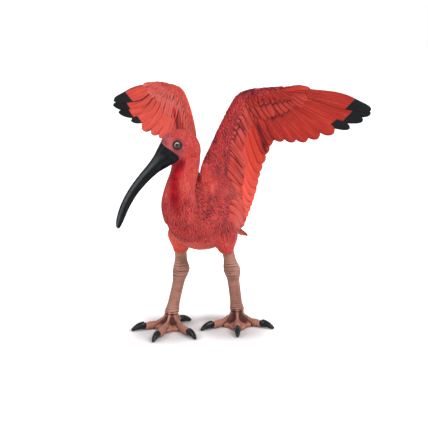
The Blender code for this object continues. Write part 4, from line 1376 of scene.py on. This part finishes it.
legs = {}
for side_name, leg in LEGS.items():
    parts = [tube("shank", 32, 150, lambda t, angle: shank_place(t, angle, leg))]
    fronts = sorted(toe[0] for name, toe in TOES[side_name].items() if name != "hind")
    parts.append(tube("web", 72, 24, lambda t, angle: web_place(t, angle, leg["foot"], fronts)))
    for heading, reach, rise in TOES[side_name].values():
        parts.append(tube("toe", 24, 90, lambda t, angle: toe_place(t, angle, leg["foot"], heading, reach, rise)))
    item = cast("leg_" + side_name, parts, LEG_VOXEL, 1)
    points = from_scene(corners(item.data))
    normals = np.empty(len(points) * 3)
    item.data.vertices.foreach_get("normal", normals)
    sunk = hollows(points, side_name, leg)
    points = points - normals.reshape(-1, 3) * (HOLLOW_DEPTH * sunk)[:, None]
    points[:, 2] = np.maximum(points[:, 2], 0.0)
    put_corners(item.data, to_scene(points))
    put_crease(item)
    put_mark(item.data, "hollow", sunk * HOLLOW_SHADE[side_name])
    put_mark(item.data, "height", points[:, 2])
    report(item)
    legs[side_name] = item

# %% [markdown]
# ## Claws
# The claws are thick curved horns dipped in gloss black. Each is a tube that narrows along an
# arc and comes down to just over the ground. The four of a foot differ only in direction,
# reach and rise, so one call makes them together.

# %% Claws
CLAW_RADIUS, CLAW_TIP, CLAW_HEIGHT, CLAW_ARCH, CLAW_DROP = 1.5, 0.18, 1.7, 0.4, 0.95
CLAW_OVERLAP = 0.5
claws = {}
for side_name, leg in LEGS.items():
    headings, reaches, rises = np.array(list(TOES[side_name].values())).T

    def claw_place(t, angle, index):
        forward = toe_way(headings[index])
        side = pile((-forward[..., 1], forward[..., 0], 0 * t))
        start = reaches[index] - CLAW_LENGTH - CLAW_OVERLAP
        reach = start + (CLAW_LENGTH + CLAW_OVERLAP + 0.2) * t
        arch = CLAW_ARCH * np.sin(math.pi * np.minimum(t * 1.1, 1.0))
        height = CLAW_HEIGHT + rises[index] * (1 - t * t) + arch - CLAW_DROP * t ** 1.6
        cuff = np.where(t < 0.1, 0.75, 1.0)
        radius = (CLAW_RADIUS * np.sqrt(1 - t ** 3.4) * (1 - 0.36 * t) + CLAW_TIP) * cuff
        centre = np.array((*leg["foot"], 0.0)) + forward * reach[..., None]
        point = centre + side * (0.85 * radius * np.cos(angle))[..., None]
        ridge = radius * np.sin(angle)
        return pile((point[..., 0], point[..., 1], np.maximum(height + ridge, 0.06)))

    claws[side_name] = tubes("claws_" + side_name, 20, 24, 4, claw_place)
    report(claws[side_name])

# %% [markdown]
# ## Plumage paint
# The paint follows the way such a toy is made. A coat of scarlet comes first. A thin dark
# wash then runs into the grooves, so a feather is darkest at its edges and root; in a shaded wing
# row the root is darker still, painted shadow under the coverts. Last, lighter red goes on the
# ridges, partly the nearly dry brush of such a toy and partly a painted highlight. Painted light
# and shade from the paint map, and from each wing row's dark mark, lie over all of it. The marks
# on the mesh say where on its feather a point is, and cloudy patterns keep each layer uneven.

# %% Plumage
SCARLET, SCARLET_DIM = (0.29, 0.019, 0.018), (0.17, 0.014, 0.018)
WING_RED, WING_DIM = (0.29, 0.018, 0.011), (0.17, 0.012, 0.010)
SCARLET_LIT = (0.39, 0.034, 0.020)
SCARLET_GLOW = (0.58, 0.080, 0.058)
ROSE = (0.46, 0.115, 0.105)
BRIGHT = (0.37, 0.031, 0.024)
ORANGE = (0.56, 0.066, 0.036)
WASH = (0.045, 0.006, 0.010)
DEEP_SHADE, CRIMSON = (0.15, 0.001, 0.006), (0.30, 0.006, 0.012)
FACE, FACE_PALE = (0.14, 0.028, 0.034), (0.25, 0.055, 0.064)
BLACK = (0.006, 0.0065, 0.007)
PLUMAGE_GRAIN = 9000.0


def plumage(name, feathered=True):
    """Scarlet paint with a wash in the grooves; bare skin shows only between feathers."""
    finish = Finish(name, roughness=0.55, shine=0.06)
    paints = finish.mark("paint", "Color")
    split = finish.node("ShaderNodeSeparateColor", None, paints)
    outputs = split.socket.node.outputs
    wash, bright, deep = (Wire(finish, outputs[k]) for k in range(3))
    bare = finish.mark("paint", "Alpha")
    clouds = finish.grain(220.0, 4.0).step(0.4, 0.64)
    speck = finish.grain(1500.0, 3.0).step(0.35, 0.68)
    fine = finish.grain(PLUMAGE_GRAIN, 2.0)
    if feathered:
        run, across, tone = finish.mark("run"), finish.mark("across"), finish.mark("tone")
        edge = across.size().step(0.45, 1.0)
        root = 1 - run.step(0.05, 0.55)
        groove = edge.high(root)
        ridge = (1 - across.size().step(0.0, 0.6)) * run.step(0.3, 0.8)
    else:
        tone = finish.grain(700.0)
        groove = (1 - bare) * wash
        ridge = 0 * bare
    colour = finish.blend(tone * 0.7 + clouds * 0.3, SCARLET, SCARLET_DIM)
    # Lighter paint and painted light from the map, with pink streaks as painted highlights where it is brightest.
    colour = finish.blend(bright * 0.75, colour, BRIGHT)
    colour = finish.blend((bright - 1) * 0.85, colour, ORANGE)
    strands = finish.grain(900.0, 3.0, stretch=(1.0, 1.0, 0.25)).step(0.45, 0.7)
    colour = finish.blend(strands * bright * 0.35, colour, ROSE)
    # lighter red on the ridges: the dry brush of such a toy, and a painted highlight
    colour = finish.blend(ridge * 0.8 * speck, colour, ROSE)
    # Where the map's wash passes 1.2, in the spots of painted shade, the wash colour lies beyond the grooves too.
    stain = (groove * (0.4 + 0.6 * clouds) * (0.12 + 0.88 * wash)).high((wash - 1.2) * speck).low(1.0)
    colour = finish.blend(stain * 0.9, colour, WASH)
    colour = finish.blend(clouds * wash * speck * 0.4, colour, WASH)
    colour = finish.blend(bare.step(0.05, 0.8) * 0.85, colour, finish.blend(finish.grain(420.0, 3.0).step(0.4, 0.6), FACE, FACE_PALE))
    # the neck's streak and the eye patches of painted shade, in deep crimson
    colour = finish.blend(deep.step(0.1, 1.0), colour, finish.blend(clouds, DEEP_SHADE, CRIMSON))
    return finish.paint(colour, bump=fine, strength=0.3, reach=0.00006)


coat_paint = plumage("scarlet feather paint")
skin_paint = plumage("scarlet skin paint", feathered=False)


def wing_paint(name):
    """The same paint on long feathers, with barbs and black dipped tips."""
    finish = Finish(name, roughness=0.52, shine=0.03)
    run, across, tone = finish.mark("run"), finish.mark("across"), finish.mark("tone")
    dark, line, ink, slit = finish.mark("dark"), finish.mark("line"), finish.mark("ink"), finish.mark("slit")
    streaks = finish.node("ShaderNodeCombineXYZ", None, run * 2.0, across * 11.0, tone * 40.0)
    barb = finish.grain(1.0, 3.0, where=streaks)
    clouds = finish.grain(160.0, 4.0).step(0.4, 0.62)
    speck = finish.grain(1500.0, 3.0).step(0.35, 0.68)
    edge = across.size().step(0.7, 0.93)
    root = 1 - run.step(0.1, 0.75)
    colour = finish.blend(tone * 0.4 + clouds * 0.3, SCARLET_LIT, WING_RED)
    # Painted light and shade by row: below 0 dark lightens towards SCARLET_GLOW, above 0 it darkens towards WING_DIM.
    colour = finish.blend(0 - dark, colour, SCARLET_GLOW)
    colour = finish.blend(dark, colour, WING_DIM)
    colour = finish.blend(barb.step(0.45, 0.7) * 0.6, colour, WING_DIM)
    colour = finish.blend(barb.step(0.5, 0.3) * 0.35, colour, SCARLET_GLOW)
    colour = finish.blend(finish.mark("rose") * (0.35 + 0.65 * clouds) * 0.6, colour, ROSE)
    # Painted shadow also darkens the root of a feather in a shaded row, under the tips of the row above.
    stain = (edge * line * (0.6 + 0.4 * clouds)).high(root * dark.step(0.5, 0.65) * speck * 0.7)
    colour = finish.blend(stain * 0.85, colour, WASH)
    # Slits of painted shade: crimson in a lit row, wash colour in a shaded one.
    colour = finish.blend(slit, colour, finish.blend(dark.step(0.0, 0.1), CRIMSON, WASH))
    black = ink.step(-0.15, 0.15)
    colour = finish.blend(black, colour, finish.blend(barb, BLACK, (0.011, 0.012, 0.013)))
    rough = finish.node("ShaderNodeMapRange", None, **dict(Value=black) | {"To Min": 0.52, "To Max": 0.42})
    relief = barb * 0.7 + speck * 0.3
    return finish.paint(colour, bump=relief, strength=0.5, reach=0.00012, roughness=rough)


vane_paint = wing_paint("scarlet wing paint")

# %% [markdown]
# ## Paint of the bill, eyes, legs and claws
# The bill is satin black, with a painted grey highlight on its ridges. The legs are a dull pinkish
# brown, dark red-brown in every fold, with painted shade in the hollows of the feet and a painted
# highlight on raised scutes. Eyes and claws are varnished, and low roughness gives their small sharp highlights.

# %% Other paints


def bill_paint():
    finish = Finish("satin black paint", roughness=0.3, shine=0.05)
    groove, worn = finish.mark("groove"), finish.mark("worn")
    cloud = finish.grain(500.0, 4.0)
    colour = finish.blend(cloud.step(0.35, 0.7), (0.003, 0.0034, 0.004), (0.007, 0.008, 0.009))
    # darker in the groove, painted shade
    colour = finish.blend(groove * 0.7, colour, (0.002, 0.0025, 0.003))
    # a painted grey highlight along the shoulders of the ridge
    colour = finish.blend(worn * cloud.step(0.1, 0.6, (0.6, 1.0)) * 0.8, colour, (0.050, 0.055, 0.060))
    rough = cloud.step(0.3, 0.7, (0.26, 0.38))
    return finish.paint(colour, bump=finish.grain(4000.0), strength=0.25, reach=0.00008, roughness=rough)


def leg_paint():
    finish = Finish("pink-brown leg paint", roughness=0.55, shine=0.18)
    hollow, height, crease = finish.mark("hollow"), finish.mark("height"), finish.mark("crease")
    cloud = finish.grain(260.0, 4.0)
    speck = finish.grain(2600.0, 3.0)
    colour = finish.blend(cloud.step(0.35, 0.65), (0.24, 0.108, 0.079), (0.16, 0.070, 0.053))
    colour = finish.blend(speck.step(0.5, 0.8) * 0.5, colour, (0.09, 0.034, 0.027))
    foot = 1 - height.step(3.0, 7.0)
    colour = finish.blend(foot * 0.5, colour, (0.20, 0.068, 0.048))
    colour = finish.blend(crease.step(0.0, 0.09) * 0.95, colour, (0.035, 0.010, 0.008))
    # raised scutes and ridges are painted lighter, a painted highlight
    colour = finish.blend(crease.step(-0.02, -0.12) * 0.6, colour, (0.36, 0.19, 0.14))
    # the hollows between the tendons are painted nearly black, painted shade
    colour = finish.blend(hollow.step(0.1, 0.55) * 0.9, colour, (0.042, 0.008, 0.006))
    return finish.paint(colour, bump=speck, strength=0.35, reach=0.00015)


def claw_paint():
    finish = Finish("gloss black paint", roughness=0.2, shine=0.18)
    cloud = finish.grain(1400.0, 3.0)
    colour = finish.blend(cloud.step(0.4, 0.7), (0.005, 0.006, 0.006), (0.010, 0.012, 0.0115))
    return finish.paint(colour, bump=cloud, strength=0.5, reach=0.0002, roughness=cloud.step(0.3, 0.7, (0.16, 0.32)))


def eye_paint():
    finish = Finish("varnished eye", roughness=0.12, shine=0.3)
    gaze = finish.mark("gaze")
    fleck = finish.grain(900.0, 3.0)
    iris = finish.blend(fleck.step(0.46, 0.58), (0.018, 0.018, 0.012), (0.36, 0.33, 0.25))
    colour = finish.blend(gaze.step(0.38, 0.50), (0.003, 0.003, 0.003), iris)
    colour = finish.blend(gaze.step(0.68, 0.76), colour, (0.005, 0.003, 0.003))
    return finish.paint(colour)


def lid_paint():
    finish = Finish("dark lid paint", roughness=0.4, shine=0.12)
    cloud = finish.grain(3000.0)
    return finish.paint(finish.blend(cloud, (0.008, 0.004, 0.005), (0.035, 0.010, 0.012)), bump=cloud, strength=0.2)


# %% Dress the pieces
def dress(item, material, nodes):
    item.data.materials.clear()
    item.data.materials.append(material)
    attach(item, "root")
    if nodes:
        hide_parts(*nodes)


dress(skin, skin_paint, ("torso", "neck", "head", "thigh_left", "thigh_right"))
for item in coats:
    dress(item, coat_paint, ())
for side_name, item in wings.items():
    dress(item, vane_paint, ("wing_" + side_name + "_inner", "wing_" + side_name + "_outer"))
dress(flank, vane_paint, ())
dress(tail, vane_paint, ("tail",))
dress(bill, bill_paint(), ("bill_upper", "bill_lower"))
dress(eyes, eye_paint(), ("eye_left", "eye_right"))
dress(lids, lid_paint(), ())
leg_colour, claw_colour = leg_paint(), claw_paint()
for side_name in LEGS:
    dress(legs[side_name], leg_colour, ("shank_" + side_name, "foot_" + side_name))
    names = ["claw_" + side_name + "_" + toe for toe in TOES[side_name]]
    dress(claws[side_name], claw_colour, names)
